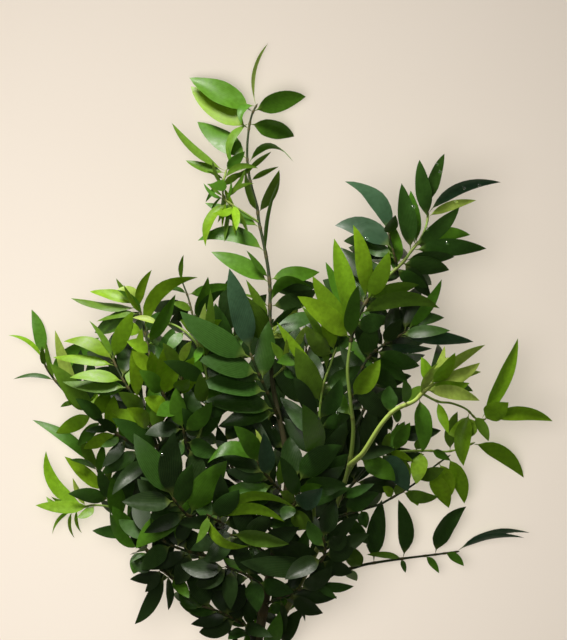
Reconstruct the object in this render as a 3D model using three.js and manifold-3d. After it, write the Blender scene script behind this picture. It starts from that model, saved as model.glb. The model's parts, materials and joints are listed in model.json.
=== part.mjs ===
// A freshly cut nagi branch, lying on a flat surface as it would on a bench.
//
// The shape is drawn on a sheet, seen from above: x runs to the right and y
// runs down from the sheet's top left corner, and z is the height above the
// surface, all in millimetres. The part's own frame has +X to the right, +Y
// towards the branch's tip and +Z up, with its origin under the middle of the
// branch's box.
import * as THREE from "three";
import { mergeVertices } from "three/addons/utils/BufferGeometryUtils.js";
import Module from "manifold-3d";

// Driving dimensions, in millimetres
const sheetMiddleX = 280;
const sheetMiddleY = 391;
const bladeThickness = 0.8;
const petioleWidth = 1;
const petioleFoot = 0.5;
const pieceGap = 0.3;
const thickTwig = 3;
const thickTwigSides = 6;
const thinTwigSides = 4;
const twigSectionStep = 24;
const leastTwigSections = 3;
const axisPlaces = 240;
const endPlaces = 6;

// A leaf's outline: where it is widest, how full it is, and where along it the
// petiole ends and the blade's sections lie, all as shares of its length
const widestAt = 0.38;
const fullness = 2.1;
const petioleShare = 0.07;
const drawnSections = [0, petioleShare, 0.3, 0.64, 1];
const pairSections = [0, petioleShare, 0.45, 1];
const shortLeaf = 34;

// The leaves that stand in pairs along a twig, beside those drawn one by one
const pairSpread = 52;
const pairSpreadVariation = 16;
const pairTiltVariation = 40;
const pairLeastShare = 0.8;
const pairLengthVariation = 0.35;
const pairWidthShare = 0.33;
const pairRoll = 24;
const pairBow = 0.1;
const pairArch = 0.1;
const goldenRatio = 0.618034;

// How far a leaf's tip may rise or sink to pass its neighbours, nearest first
const tipMoves = [0, 7, -7, 14, -14, 21, -21, 28, -28, 36, -36, 44, 52];
const liftTries = 30;
const surfaceTolerance = 1e-5;

const agedBark = { color: 0x4c4a33, roughness: 0.75, metalness: 0 };
const greenBark = { color: 0x4a5f2c, roughness: 0.6, metalness: 0 };
const oldLeaf = { color: 0x3c6a2c, roughness: 0.35, metalness: 0 };
const newLeaf = { color: 0x7fa83c, roughness: 0.35, metalness: 0 };

// Bare wood: the limb that each grows from, its radii at both ends, and its
// line as [x, y, z] points on the sheet. A side limb's first point gives only
// where it leaves its parent, which sets its height there.
const limbs = [
  {
    name: "main_stem",
    radii: [6.2, 1.9],
    line: [
      [250, 743.35, 5.35], [251, 700, 11], [255, 660, 20], [262, 620, 31], [270, 575, 44],
      [280, 525, 58], [288, 478, 72], [285, 445, 80], [278, 412, 86], [272, 378, 88],
      [271, 345, 86],
    ],
  },
  {
    name: "left_limb",
    parent: "main_stem",
    radii: [3.8, 2.0],
    line: [
      [256, 655], [246, 610, 38], [228, 565, 48], [205, 525, 52], [180, 490, 52],
      [155, 463, 50], [134, 446, 47],
    ],
  },
  {
    name: "left_low_limb",
    parent: "main_stem",
    radii: [2.8, 1.7],
    line: [
      [251, 695], [240, 655, 19], [215, 620, 23], [182, 592, 26], [150, 560, 26],
    ],
  },
  {
    name: "left_middle_limb",
    parent: "left_limb",
    radii: [2.6, 1.8],
    line: [
      [228, 565], [218, 530, 60], [203, 490, 72], [190, 455, 80], [183, 425, 86],
      [178, 402, 90],
    ],
  },
  {
    name: "right_limb",
    parent: "main_stem",
    radii: [3.6, 1.5],
    line: [
      [253, 675], [272, 640, 28], [296, 595, 38], [318, 550, 50], [336, 508, 62],
      [348, 470, 74], [353, 432, 88], [350, 400, 98], [347, 370, 102], [350, 342, 102],
    ],
  },
  {
    name: "right_low_limb",
    parent: "main_stem",
    radii: [2.5, 1.6],
    line: [
      [251, 705], [272, 668, 14], [298, 625, 18], [318, 592, 21], [338, 575, 22],
    ],
  },
];

// Leafy shoots: each has a twig, as the limbs above, and its leaves. A drawn
// leaf is [base x, base y, tip x, tip y, tip's rise, width, roll in degrees,
// bow to its left, arch upwards], the last two as shares of its length. The
// pairs stand between two shares of the twig, with a length and a tilt in
// degrees towards the viewer.
const shoots = [
  {
    name: "leader_middle",
    parent: "main_stem",
    radii: [1.9, 1.5],
    line: [
      [271, 345], [270, 325, 82], [270, 305, 77], [270, 288, 72], [268, 268, 66],
      [264, 245, 59], [259, 222, 52], [257, 206, 47],
    ],
    leaves: [
      [260, 228, 203, 204, -14, 15, 25, -0.1, 0.08],
      [264, 252, 197, 240, -10, 17, 15, -0.35, 0.05],
      [269, 284, 210, 255, -4, 19, 20, -0.12, 0.06],
      [268, 279, 247, 250, 10, 8, 40, 0.05, 0.05],
      [271, 305, 314, 289, 8, 13, 30, 0.7, 0.05],
      [271, 330, 297, 306, 6, 8, 40, 0.1, 0.05],
      [272, 343, 298, 308, -12, 20, 10, 0, 0.08],
      [268, 326, 257, 305, 9, 9, 20, 0, 0.05],
      [270, 309, 237, 294, 12, 5, 45, -0.2, 0.05],
      [267, 320, 246, 280, -8, 10, 30, 0, 0.05],
      [270, 344, 236, 290, 18, 26, 15, 0.05, 0.1],
      [258, 213, 278, 169, 10, 15, 42, -0.12, 0.05],
      [266, 256, 280, 179, 16, 7, 55, 0.15, 0.1],
      [258, 212, 245, 170, 18, 9, 38, 0.1, 0.05],
    ],
  },
  {
    name: "leader_top",
    parent: "leader_middle",
    radii: [1.5, 1.0],
    line: [
      [257, 206], [250, 180, 39], [247, 160, 33], [247, 140, 28], [249, 122, 23],
      [252, 110, 20], [257, 100, 17],
    ],
    leaves: [
      [257, 101, 268, 38, -10, 6, 50, 0.27, 0.05],
      [251, 108, 186, 77, -8, 25, 20, -0.08, 0.08],
      [248, 126, 187, 83, -24, 26, 15, 0, 0.05],
      [247, 158, 194, 119, -30, 24, 25, -0.06, 0.05],
      [256, 102, 241, 122, 14, 9, 25, -0.62, 0.1],
      [248, 120, 229, 160, 8, 11, 35, -0.4, 0.1],
      [253, 108, 306, 90, -6, 22, 25, 0.06, 0.08],
      [249, 121, 294, 133, -24, 20, 20, 0.1, 0.06],
      [247, 164, 294, 161, 12, 10, 42, 0.8, 0.05],
      [248, 170, 272, 151, 16, 7, 40, 0.12, 0.05],
      [249, 180, 279, 166, 6, 7, 40, 0.15, 0.05],
    ],
  },
  {
    name: "leader_left_shoot",
    parent: "leader_middle",
    radii: [1.1, 0.9],
    line: [
      [259, 222], [244, 212, 56], [230, 203, 56], [223, 196, 54], [223, 182, 49],
      [226, 168, 43],
    ],
    leaves: [
      [226, 168, 171, 120, -14, 12, 45, 0.18, 0.06],
      [225, 172, 185, 158, -8, 12, 35, 0.1, 0.06],
      [224, 176, 207, 184, 6, 12, 15, 0.4, 0.1],
      [226, 170, 246, 152, 10, 11, 10, 0.1, 0.06],
      [232, 204, 212, 212, 14, 9, 30, 0.4, 0.1],
      [228, 202, 206, 246, 8, 12, 30, -0.32, 0.06],
      [231, 204, 236, 231, 14, 9, 25, 0.1, 0.06],
      [223, 186, 243, 172, 8, 8, 25, 0.15, 0.06],
    ],
  },
  {
    name: "centre_left_top_shoot",
    parent: "main_stem",
    radii: [1.7, 1.1],
    line: [
      [281, 421], [272, 402, 97], [263, 382, 106], [255, 364, 111], [250, 351, 111],
    ],
    leaves: [
      [251, 354, 227, 270, 8, 25, 25, -0.06, 0.08],
      [253, 358, 179, 314, 10, 27, 20, 0.05, 0.1],
      [259, 373, 199, 358, 14, 25, 25, -0.05, 0.1],
      [266, 392, 200, 382, 14, 25, 30, -0.08, 0.1],
      [274, 409, 204, 404, 12, 24, 25, -0.1, 0.1],
      [276, 412, 222, 425, 4, 20, 20, -0.1, 0.1],
    ],
    pairs: { count: 1, from: 0.25, to: 0.95, length: 55, tilt: -30 },
  },
  {
    name: "leader_side_shoot",
    parent: "main_stem",
    radii: [1.1, 0.9],
    line: [[272, 378], [281, 370, 94], [290, 360, 98], [296, 350, 98]],
    leaves: [
      [282, 369, 286, 338, 6, 8, 45, -0.1, 0.06],
      [288, 363, 272, 341, 10, 11, 35, 0.1, 0.06],
      [294, 354, 276, 360, 6, 14, 15, 0.2, 0.1],
      [284, 367, 294, 378, 2, 8, 30, -0.1, 0.06],
      [296, 351, 306, 326, 4, 9, 40, 0.1, 0.06],
    ],
  },
  {
    name: "centre_right_shoot",
    parent: "right_limb",
    radii: [2.0, 1.0],
    line: [
      [318, 550], [314, 510, 66], [314, 470, 80], [318, 435, 92], [320, 405, 98],
      [323, 385, 102], [330, 364, 104], [336, 347, 104],
    ],
    leaves: [
      [324, 382, 277, 322, 10, 12, 20, 0.05, 0.08],
      [326, 374, 300, 306, 14, 13, 40, -0.2, 0.08],
      [321, 402, 297, 346, 14, 25, 20, 0.05, 0.1],
      [316, 440, 294, 376, 10, 22, 25, -0.08, 0.1],
      [333, 354, 303, 327, 8, 20, 25, 0.1, 0.08],
      [335, 348, 326, 300, 6, 18, 30, 0.06, 0.08],
      [320, 430, 318, 414, 20, 6, 10, 0, 0.1],
      [320, 420, 340, 378, 8, 20, 30, -0.1, 0.1],
      [316, 460, 302, 402, 20, 24, 20, -0.1, 0.1],
      [317, 472, 346, 420, 10, 22, 25, -0.1, 0.1],
      [315, 490, 350, 455, 12, 22, 20, 0.1, 0.1],
    ],
    pairs: { count: 2, from: 0.3, to: 0.95, length: 56, tilt: -25 },
  },
  {
    name: "right_middle_shoot",
    parent: "right_limb",
    radii: [2.0, 1.6],
    line: [
      [350, 342], [354, 325, 101], [362, 308, 97], [372, 293, 92], [385, 279, 86],
    ],
    leaves: [
      [366, 302, 356, 225, 6, 19, 30, -0.06, 0.08],
      [352, 331, 331, 240, 4, 22, 28, -0.05, 0.06],
      [366, 301, 388, 252, 12, 18, 12, -0.08, 0.08],
      [367, 299, 418, 285, 6, 16, 30, 0.08, 0.08],
      [358, 316, 440, 306, -4, 18, 25, 0.3, 0.05],
      [352, 332, 311, 277, 8, 20, 20, 0.08, 0.08],
      [350, 342, 297, 297, 12, 23, 20, -0.08, 0.08],
      [350, 340, 357, 285, 16, 18, 30, 0.08, 0.08],
      [356, 320, 327, 262, -6, 16, 30, 0.08, 0.06],
      [354, 325, 386, 318, -4, 20, 20, -0.1, 0.08],
    ],
    pairs: { count: 1, from: 0.15, to: 0.95, length: 58, tilt: -35 },
  },
  {
    name: "right_top_shoot",
    parent: "right_middle_shoot",
    radii: [1.6, 1.0],
    line: [
      [385, 279], [403, 262, 78], [412, 250, 73], [422, 237, 68], [428, 220, 62],
      [428, 203, 56],
    ],
    leaves: [
      [409, 250, 399, 184, 6, 20, 20, -0.04, 0.06],
      [428, 220, 417, 160, 4, 18, 25, -0.05, 0.06],
      [416, 243, 412, 190, -10, 16, 30, 0, 0.06],
      [428, 204, 445, 152, -6, 14, 25, 0.05, 0.06],
      [429, 214, 502, 183, -12, 14, 32, 0.3, 0.05],
      [428, 217, 477, 201, 2, 10, 20, 0.15, 0.06],
      [414, 246, 459, 207, 8, 17, 20, -0.08, 0.06],
      [422, 237, 471, 234, -4, 14, 15, 0.08, 0.06],
      [412, 250, 487, 249, -10, 19, 20, 0.06, 0.06],
      [405, 261, 455, 257, -16, 16, 35, 0.05, 0.06],
      [401, 264, 450, 269, -20, 20, 20, 0.04, 0.06],
      [396, 269, 428, 287, -8, 16, 30, -0.06, 0.06],
      [388, 276, 352, 256, -10, 16, 20, 0.1, 0.06],
      [398, 267, 394, 223, 14, 18, 30, 0.06, 0.06],
    ],
    pairs: { count: 1, from: 0.1, to: 0.9, length: 52, tilt: -40 },
  },
  {
    name: "right_inner_shoot",
    parent: "right_top_shoot",
    radii: [1.1, 0.8],
    line: [[397, 268], [394, 256, 84], [391, 244, 84], [388, 232, 81]],
    leaves: [
      [390, 238, 345, 181, -12, 20, 25, -0.36, 0.05],
      [392, 250, 335, 223, -8, 23, 15, -0.24, 0.05],
      [389, 234, 394, 216, 8, 14, 30, 0.06, 0.06],
      [393, 254, 362, 243, -8, 15, 20, 0.1, 0.06],
    ],
  },
  {
    name: "right_dark_shoot",
    parent: "right_limb",
    radii: [1.6, 1.0],
    line: [
      [350, 400], [357, 378, 90], [368, 358, 82], [382, 346, 75], [396, 338, 68],
      [408, 331, 62],
    ],
    leaves: [
      [407, 332, 444, 280, -4, 13, 25, -0.08, 0.06],
      [398, 337, 474, 343, -6, 17, 35, 0.05, 0.06],
      [406, 332, 435, 331, -12, 14, 30, 0.1, 0.06],
      [384, 345, 432, 347, 2, 12, 40, -0.06, 0.06],
      [376, 351, 420, 366, -8, 20, 25, -0.1, 0.06],
      [370, 357, 408, 383, -10, 16, 30, 0.1, 0.06],
      [362, 367, 398, 388, -14, 18, 25, 0.1, 0.06],
      [368, 358, 372, 322, 10, 22, 25, 0.08, 0.08],
      [351, 396, 377, 358, 16, 20, 10, -0.1, 0.1],
      [384, 345, 402, 318, 4, 16, 25, 0.05, 0.06],
      [354, 386, 384, 420, -6, 20, 20, 0.1, 0.08],
    ],
    pairs: { count: 1, from: 0.2, to: 0.95, length: 52, tilt: -35 },
  },
  {
    name: "young_right_shoot",
    parent: "right_limb",
    radii: [2.6, 1.9],
    line: [
      [349, 465], [357, 458, 88], [364, 450, 96], [380, 424, 106], [394, 409, 107],
      [412, 401, 104], [421, 393, 99], [433, 382, 92],
    ],
    leaves: [
      [433, 382, 485, 345, -12, 12, 30, 0.12, 0.06],
      [432, 383, 480, 365, 4, 15, 15, -0.06, 0.1],
      [433, 382, 481, 373, -10, 11, 20, 0.1, 0.06],
      [431, 384, 468, 383, 6, 14, 20, -0.15, 0.1],
      [430, 385, 473, 393, -8, 13, 20, 0.16, 0.06],
      [424, 391, 478, 400, 0, 15, 20, 0.14, 0.08],
      [432, 383, 452, 352, 4, 15, 25, -0.1, 0.08],
      [428, 386, 420, 357, -6, 14, 30, -0.15, 0.06],
      [427, 387, 404, 402, -8, 12, 25, -0.1, 0.06],
      [418, 397, 425, 452, -10, 18, 15, 0.05, 0.06],
      [400, 406, 397, 423, -4, 10, 25, -0.1, 0.06],
      [404, 404, 402, 378, -10, 12, 30, -0.1, 0.06],
      [390, 413, 388, 385, -14, 18, 25, 0.1, 0.06],
    ],
  },
  {
    name: "far_right_shoot",
    parent: "young_right_shoot",
    radii: [1.3, 0.9],
    line: [
      [421, 393], [437, 401, 92], [451, 403, 84], [466, 409, 74], [477, 419, 64],
      [487, 420, 56],
    ],
    leaves: [
      [485, 411, 521, 339, -14, 17, 25, -0.06, 0.06],
      [487, 420, 556, 422, -22, 15, 15, 0.2, 0.04],
      [480, 433, 505, 400, 16, 22, 12, -0.08, 0.1],
      [478, 420, 450, 438, 4, 22, 20, 0.1, 0.08],
      [436, 401, 446, 433, 2, 11, 30, 0.1, 0.06],
      [470, 412, 462, 466, -8, 18, 20, -0.08, 0.06],
      [474, 416, 489, 441, -4, 12, 30, 0.1, 0.06],
    ],
  },
  {
    name: "right_arm_shoot",
    parent: "right_limb",
    radii: [1.6, 0.9],
    line: [
      [345, 480], [355, 463, 68], [368, 455, 64], [390, 453, 58], [410, 452, 51],
      [430, 452, 43], [450, 453, 35], [466, 449, 29], [478, 444, 24],
    ],
    leaves: [
      [478, 444, 527, 482, -30, 17, 15, 0.26, 0.04],
      [452, 453, 457, 412, 6, 15, 30, 0.08, 0.06],
      [416, 452, 430, 435, 8, 12, 25, 0.1, 0.06],
      [395, 452, 412, 424, 6, 15, 25, 0.1, 0.08],
      [386, 453, 389, 432, 4, 10, 30, 0.1, 0.06],
      [422, 452, 414, 484, 6, 18, 20, 0.1, 0.08],
      [388, 453, 414, 463, -2, 10, 40, 0.2, 0.06],
      [380, 454, 408, 493, -6, 23, 20, 0.15, 0.08],
      [360, 460, 398, 478, 4, 22, 20, 0.1, 0.1],
      [432, 452, 452, 461, 0, 10, 30, 0.1, 0.06],
    ],
    pairs: { count: 1, from: 0.12, to: 0.6, length: 44, tilt: -20 },
  },
  {
    name: "right_dark_twig",
    parent: "right_limb",
    radii: [1.5, 0.8],
    line: [
      [326, 532], [335, 520, 56], [345, 516, 50], [378, 507, 42], [389, 502, 39],
      [408, 491, 35], [421, 482, 32], [437, 468, 28], [453, 457, 24],
    ],
    leaves: [
      [453, 458, 467, 507, -14, 17, 20, 0.15, 0.06],
      [441, 465, 455, 499, -6, 16, 15, 0.1, 0.06],
      [430, 474, 452, 511, -12, 18, 15, 0.1, 0.06],
      [404, 494, 440, 500, 4, 14, 20, -0.12, 0.06],
      [347, 516, 372, 544, -4, 16, 20, -0.15, 0.06],
      [346, 516, 379, 492, 10, 20, 20, 0.18, 0.08],
      [393, 499, 384, 487, 8, 10, 20, -0.1, 0.06],
      [396, 498, 411, 480, 4, 12, 30, 0.1, 0.06],
      [419, 483, 446, 471, 6, 15, 20, 0.12, 0.06],
      [362, 512, 366, 530, 4, 14, 30, 0.1, 0.06],
      [408, 491, 421, 508, -4, 11, 25, 0.1, 0.06],
    ],
  },
  {
    name: "right_low_shoot",
    parent: "right_low_limb",
    radii: [1.6, 0.9],
    line: [
      [338, 575], [354, 572, 20], [370, 568, 17], [405, 563, 12], [440, 559, 8],
      [463, 556, 6],
    ],
    leaves: [
      [376, 567, 385, 503, 10, 20, 15, 0.08, 0.06],
      [406, 563, 399, 503, 12, 18, 22, -0.18, 0.06],
      [438, 559, 467, 507, 12, 19, 20, 0.18, 0.06],
      [403, 563, 407, 577, 0, 6, 25, 0.1, 0.05],
      [428, 560, 441, 578, -2, 8, 25, 0.18, 0.05],
      [448, 558, 467, 570, -2, 10, 25, 0.2, 0.05],
      [462, 556, 535, 538, -9, 9, 40, 0.25, 0.05],
      [460, 556, 528, 542, 3, 8, 40, 0.24, 0.05],
      [352, 572, 358, 551, 12, 18, 10, -0.1, 0.1],
      [404, 563, 368, 559, 8, 8, 35, -0.1, 0.05],
      [346, 574, 357, 587, -8, 11, 20, 0.1, 0.05],
    ],
  },
  {
    name: "left_arm_shoot",
    parent: "left_limb",
    radii: [1.9, 0.9],
    line: [
      [134, 446], [113, 433, 42], [95, 418, 36], [75, 405, 29], [60, 391, 23],
      [45, 373, 17], [36, 355, 13],
    ],
    leaves: [
      [38, 358, 27, 309, -16, 14, 20, -0.1, 0.06],
      [42, 367, 38, 347, 6, 7, 30, 0.1, 0.06],
      [39, 361, 4, 335, -16, 6, 40, -0.3, 0.05],
      [52, 382, 9, 381, -8, 6, 40, -0.25, 0.05],
      [52, 381, 43, 341, 4, 7, 40, 0.1, 0.06],
      [73, 403, 58, 408, -2, 6, 30, -0.1, 0.05],
      [82, 409, 54, 330, 12, 15, 35, 0.08, 0.08],
      [94, 417, 51, 361, 10, 20, 20, 0.06, 0.08],
      [103, 425, 74, 399, 14, 15, 30, -0.08, 0.08],
      [110, 430, 114, 396, 10, 16, 25, 0.1, 0.08],
      [88, 413, 60, 381, 20, 15, 30, 0.1, 0.08],
      [96, 419, 108, 391, 14, 18, 25, 0.1, 0.08],
      [118, 436, 100, 448, -4, 10, 30, 0.15, 0.06],
      [124, 440, 128, 412, 14, 18, 25, 0.06, 0.08],
    ],
    pairs: { count: 2, from: 0.04, to: 0.5, length: 46, tilt: -20 },
  },
  {
    name: "left_upper_shoot",
    parent: "left_limb",
    radii: [1.7, 1.0],
    line: [
      [160, 468], [156, 445, 66], [148, 420, 78], [137, 400, 84], [126, 384, 84],
      [118, 370, 80], [112, 357, 75],
    ],
    leaves: [
      [114, 362, 63, 342, -8, 15, 25, -0.3, 0.06],
      [116, 366, 52, 359, -14, 12, 35, -0.08, 0.06],
      [124, 381, 70, 376, -4, 14, 30, -0.1, 0.06],
      [128, 387, 62, 382, -16, 14, 35, 0.08, 0.06],
      [113, 360, 133, 311, 2, 18, 25, 0.05, 0.08],
      [112, 358, 88, 321, -10, 8, 40, -0.15, 0.06],
      [138, 402, 143, 328, 8, 17, 25, 0.08, 0.08],
      [146, 416, 120, 392, 10, 18, 25, -0.08, 0.1],
      [150, 426, 128, 410, 8, 18, 25, -0.1, 0.1],
      [152, 430, 168, 400, 8, 18, 25, 0.1, 0.1],
      [156, 446, 130, 430, 4, 20, 25, -0.1, 0.1],
      [158, 455, 112, 420, 18, 22, 25, -0.1, 0.1],
    ],
    pairs: { count: 2, from: 0.2, to: 0.9, length: 48, tilt: -30 },
  },
  {
    name: "left_high_shoot",
    parent: "left_middle_limb",
    radii: [1.7, 0.9],
    line: [
      [183, 425], [170, 405, 96], [160, 385, 97], [152, 362, 93], [147, 340, 86],
      [142, 318, 78], [138, 302, 70],
    ],
    leaves: [
      [138, 304, 88, 293, -14, 13, 30, -0.12, 0.06],
      [139, 308, 70, 297, -24, 12, 45, 0.1, 0.05],
      [141, 314, 96, 322, -14, 7, 40, -0.1, 0.06],
      [139, 306, 117, 289, 6, 10, 20, -0.5, 0.1],
      [146, 334, 198, 279, -4, 16, 25, 0.5, 0.05],
      [148, 344, 174, 294, 6, 15, 25, -0.06, 0.08],
      [158, 380, 152, 351, 12, 16, 25, 0.05, 0.08],
      [160, 385, 166, 346, 16, 15, 30, -0.05, 0.08],
      [165, 395, 178, 360, 14, 17, 25, 0.06, 0.08],
      [150, 354, 128, 340, 6, 14, 25, -0.1, 0.08],
      [154, 368, 132, 352, 12, 16, 25, 0.1, 0.08],
      [164, 392, 140, 372, 12, 18, 25, -0.1, 0.08],
      [172, 408, 146, 396, 12, 19, 25, 0.1, 0.08],
    ],
    pairs: { count: 2, from: 0.15, to: 0.95, length: 46, tilt: -35 },
  },
  {
    name: "left_crown_shoot",
    parent: "left_middle_limb",
    radii: [1.8, 1.1],
    line: [
      [178, 402], [181, 388, 97], [183, 374, 100], [182, 360, 100],
    ],
    leaves: [
      [181, 377, 196, 357, 6, 13, 25, 0.12, 0.08],
      [180, 366, 165, 342, 4, 13, 20, 0.1, 0.08],
      [180, 392, 190, 378, 14, 16, 20, 0.1, 0.1],
      [180, 384, 230, 384, 4, 8, 35, 0.2, 0.06],
      [179, 396, 197, 366, 16, 12, 35, -0.1, 0.1],
      [180, 365, 192, 340, 2, 10, 25, 0.1, 0.06],
      [178, 400, 158, 414, 10, 19, 20, 0.1, 0.1],
    ],
    pairs: { count: 1, from: 0.1, to: 0.95, length: 50, tilt: -25 },
  },
  {
    name: "left_core_shoot",
    parent: "left_middle_limb",
    radii: [1.4, 0.9],
    line: [[193, 464], [190, 450, 92], [186, 438, 101], [184, 427, 106]],
    leaves: [
      [184, 428, 146, 432, 4, 17, 25, -0.1, 0.08],
      [184, 427, 177, 387, 8, 18, 20, 0.08, 0.08],
      [185, 431, 214, 402, 8, 18, 20, -0.08, 0.08],
      [186, 437, 158, 458, 4, 21, 20, 0.1, 0.08],
      [187, 441, 218, 456, 6, 20, 25, 0.1, 0.08],
      [189, 447, 201, 492, 4, 21, 20, 0.1, 0.08],
    ],
  },
  {
    name: "arching_young_shoot",
    parent: "left_middle_limb",
    radii: [1.6, 1.0],
    line: [
      [190, 455], [201, 430, 92], [207, 402, 101], [207, 375, 106], [201, 351, 107],
      [190, 335, 104], [172, 324, 97], [156, 326, 89],
    ],
    leaves: [
      [156, 326, 133, 318, -6, 7, 30, -0.2, 0.06],
      [160, 325, 147, 336, 4, 8, 25, 0.2, 0.06],
      [186, 332, 168, 352, 8, 12, 25, -0.15, 0.08],
      [198, 345, 196, 362, 6, 11, 30, 0.2, 0.08],
      [206, 364, 211, 290, -8, 13, 40, -0.06, 0.06],
      [207, 380, 219, 301, 2, 14, 30, 0.06, 0.06],
      [204, 356, 206, 303, 8, 11, 30, 0.05, 0.06],
      [207, 402, 202, 372, 14, 16, 25, 0.1, 0.08],
      [206, 410, 224, 374, 12, 18, 25, -0.05, 0.08],
      [202, 428, 203, 388, 18, 16, 25, -0.05, 0.1],
      [198, 438, 182, 408, 12, 18, 25, -0.1, 0.1],
      [196, 442, 226, 408, 10, 18, 30, 0.1, 0.1],
    ],
    pairs: { count: 2, from: 0.1, to: 0.6, length: 48, tilt: -30 },
  },
  {
    name: "left_summit_shoot",
    parent: "arching_young_shoot",
    radii: [1.1, 0.8],
    line: [[207, 375], [200, 350, 97], [195, 325, 88], [189, 300, 78], [181, 279, 68]],
    leaves: [
      [181, 279, 184, 255, -4, 6, 40, 0.2, 0.05],
      [187, 294, 164, 290, -4, 6, 40, -0.3, 0.05],
      [193, 317, 209, 277, 4, 12, 35, -0.08, 0.06],
      [194, 322, 224, 290, -4, 12, 35, 0.2, 0.06],
      [192, 312, 172, 304, 6, 9, 30, -0.2, 0.06],
      [197, 336, 182, 318, 6, 12, 30, -0.1, 0.06],
      [198, 340, 221, 318, 6, 14, 30, 0.1, 0.06],
    ],
  },
  {
    name: "left_low_shoot",
    parent: "left_low_limb",
    radii: [1.7, 0.9],
    line: [
      [150, 560], [130, 535, 24], [113, 513, 20], [101, 490, 16], [93, 470, 12],
    ],
    leaves: [
      [93, 471, 26, 424, -16, 13, 25, -0.18, 0.05],
      [94, 473, 78, 438, 0, 12, 25, 0.06, 0.06],
      [96, 478, 101, 446, 4, 11, 30, 0.06, 0.06],
      [94, 474, 67, 461, 6, 7, 40, -0.15, 0.06],
      [103, 494, 63, 457, 10, 15, 25, 0.06, 0.08],
      [101, 491, 105, 462, 6, 9, 40, -0.1, 0.06],
      [120, 522, 112, 478, 20, 20, 25, 0.08, 0.1],
      [134, 540, 110, 508, 24, 20, 25, 0.1, 0.1],
      [112, 512, 134, 484, 14, 18, 25, 0.1, 0.1],
      [128, 532, 152, 500, 16, 20, 25, 0.1, 0.1],
      [142, 550, 109, 511, 32, 12, 30, 0.34, 0.06],
      [146, 555, 132, 577, 10, 20, 25, -0.15, 0.1],
    ],
    pairs: { count: 2, from: 0.1, to: 0.85, length: 46, tilt: 25 },
  },
  {
    name: "left_claw_shoot",
    parent: "left_low_shoot",
    radii: [1.2, 0.8],
    line: [[113, 513], [104, 509, 24], [90, 508, 24], [78, 511, 22], [68, 514, 19]],
    leaves: [
      [88, 508, 33, 505, 2, 14, 25, 0.1, 0.06],
      [84, 509, 41, 453, -4, 15, 25, 0.36, 0.05],
      [70, 513, 48, 538, -6, 5, 40, -0.3, 0.05],
      [69, 514, 71, 542, -6, 5, 40, -0.3, 0.05],
      [74, 512, 78, 537, -4, 5, 40, -0.25, 0.05],
      [92, 508, 74, 520, 6, 10, 25, 0.2, 0.06],
    ],
  },
  {
    name: "left_front_shoot",
    parent: "left_middle_limb",
    radii: [1.7, 1.0],
    line: [
      [208, 502], [199, 511, 80], [190, 515, 92], [181, 506, 102], [173, 495, 108],
    ],
    leaves: [
      [173, 496, 132, 435, 6, 26, 15, -0.06, 0.08],
      [174, 497, 176, 430, 14, 25, 18, 0.1, 0.08],
      [190, 515, 230, 462, 16, 28, 15, 0.12, 0.1],
      [189, 515, 136, 548, -10, 25, 20, -0.18, 0.08],
      [180, 505, 138, 478, 0, 24, 25, 0.1, 0.08],
      [176, 499, 124, 498, -12, 22, 25, 0.08, 0.08],
      [182, 508, 192, 462, 4, 20, 25, 0.1, 0.08],
      [188, 514, 150, 516, -14, 20, 25, -0.1, 0.08],
    ],
    pairs: { count: 1, from: 0.2, to: 0.95, length: 52, tilt: -40 },
  },
  {
    name: "centre_bright_shoot",
    parent: "left_middle_limb",
    radii: [1.5, 0.9],
    line: [
      [217, 529], [223, 527, 76], [222, 522, 90], [214, 517, 103], [207, 512, 110],
    ],
    leaves: [
      [214, 517, 296, 505, 12, 11, 25, 0.42, 0.05],
      [217, 519, 284, 521, 8, 13, 22, 0.4, 0.05],
      [209, 513, 249, 542, 6, 11, 22, -0.52, 0.05],
      [222, 527, 256, 546, 4, 6, 40, -0.25, 0.06],
      [208, 513, 196, 540, 4, 10, 30, 0.2, 0.08],
      [210, 514, 240, 488, 0, 22, 25, -0.12, 0.08],
      [221, 523, 262, 522, -8, 20, 20, 0.12, 0.08],
      [218, 521, 196, 494, -10, 20, 25, 0.1, 0.08],
    ],
    pairs: { count: 1, from: 0.3, to: 0.9, length: 48, tilt: -20 },
  },
  {
    name: "centre_shoot",
    parent: "main_stem",
    radii: [1.7, 1.0],
    line: [
      [285, 498], [280, 490, 80], [273, 482, 93], [264, 470, 102], [257, 459, 106],
    ],
    leaves: [
      [274, 483, 216, 495, 6, 21, 22, 0.06, 0.08],
      [259, 463, 208, 461, 10, 16, 22, -0.6, 0.05],
      [268, 476, 266, 431, 12, 17, 15, 0.05, 0.08],
      [259, 462, 234, 425, 6, 19, 20, -0.16, 0.08],
      [257, 460, 257, 428, 16, 8, 28, -0.15, 0.08],
      [278, 488, 285, 450, 6, 16, 30, -0.1, 0.08],
      [278, 487, 238, 512, -6, 22, 20, -0.1, 0.08],
      [266, 473, 214, 440, -6, 22, 25, 0.06, 0.08],
      [270, 480, 236, 470, -8, 20, 25, -0.1, 0.08],
    ],
    pairs: { count: 1, from: 0.25, to: 0.95, length: 50, tilt: -35 },
  },
  {
    name: "centre_low_shoot",
    parent: "main_stem",
    radii: [1.7, 1.0],
    line: [
      [281, 520], [290, 510, 74], [297, 499, 87], [299, 486, 96], [297, 474, 100],
    ],
    leaves: [
      [298, 481, 342, 445, 10, 26, 15, 0.16, 0.1],
      [299, 492, 322, 484, 16, 12, 25, 0.1, 0.1],
      [295, 503, 322, 486, 22, 21, 15, -0.1, 0.1],
      [296, 500, 281, 488, 18, 12, 20, 0.1, 0.1],
      [294, 505, 285, 520, 14, 16, 20, -0.15, 0.1],
      [298, 478, 288, 436, 8, 22, 20, 0.08, 0.08],
      [299, 485, 346, 488, 2, 22, 20, 0.1, 0.08],
      [290, 511, 314, 528, 8, 18, 20, -0.1, 0.08],
      [292, 508, 256, 500, 4, 20, 20, 0.1, 0.08],
    ],
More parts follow.
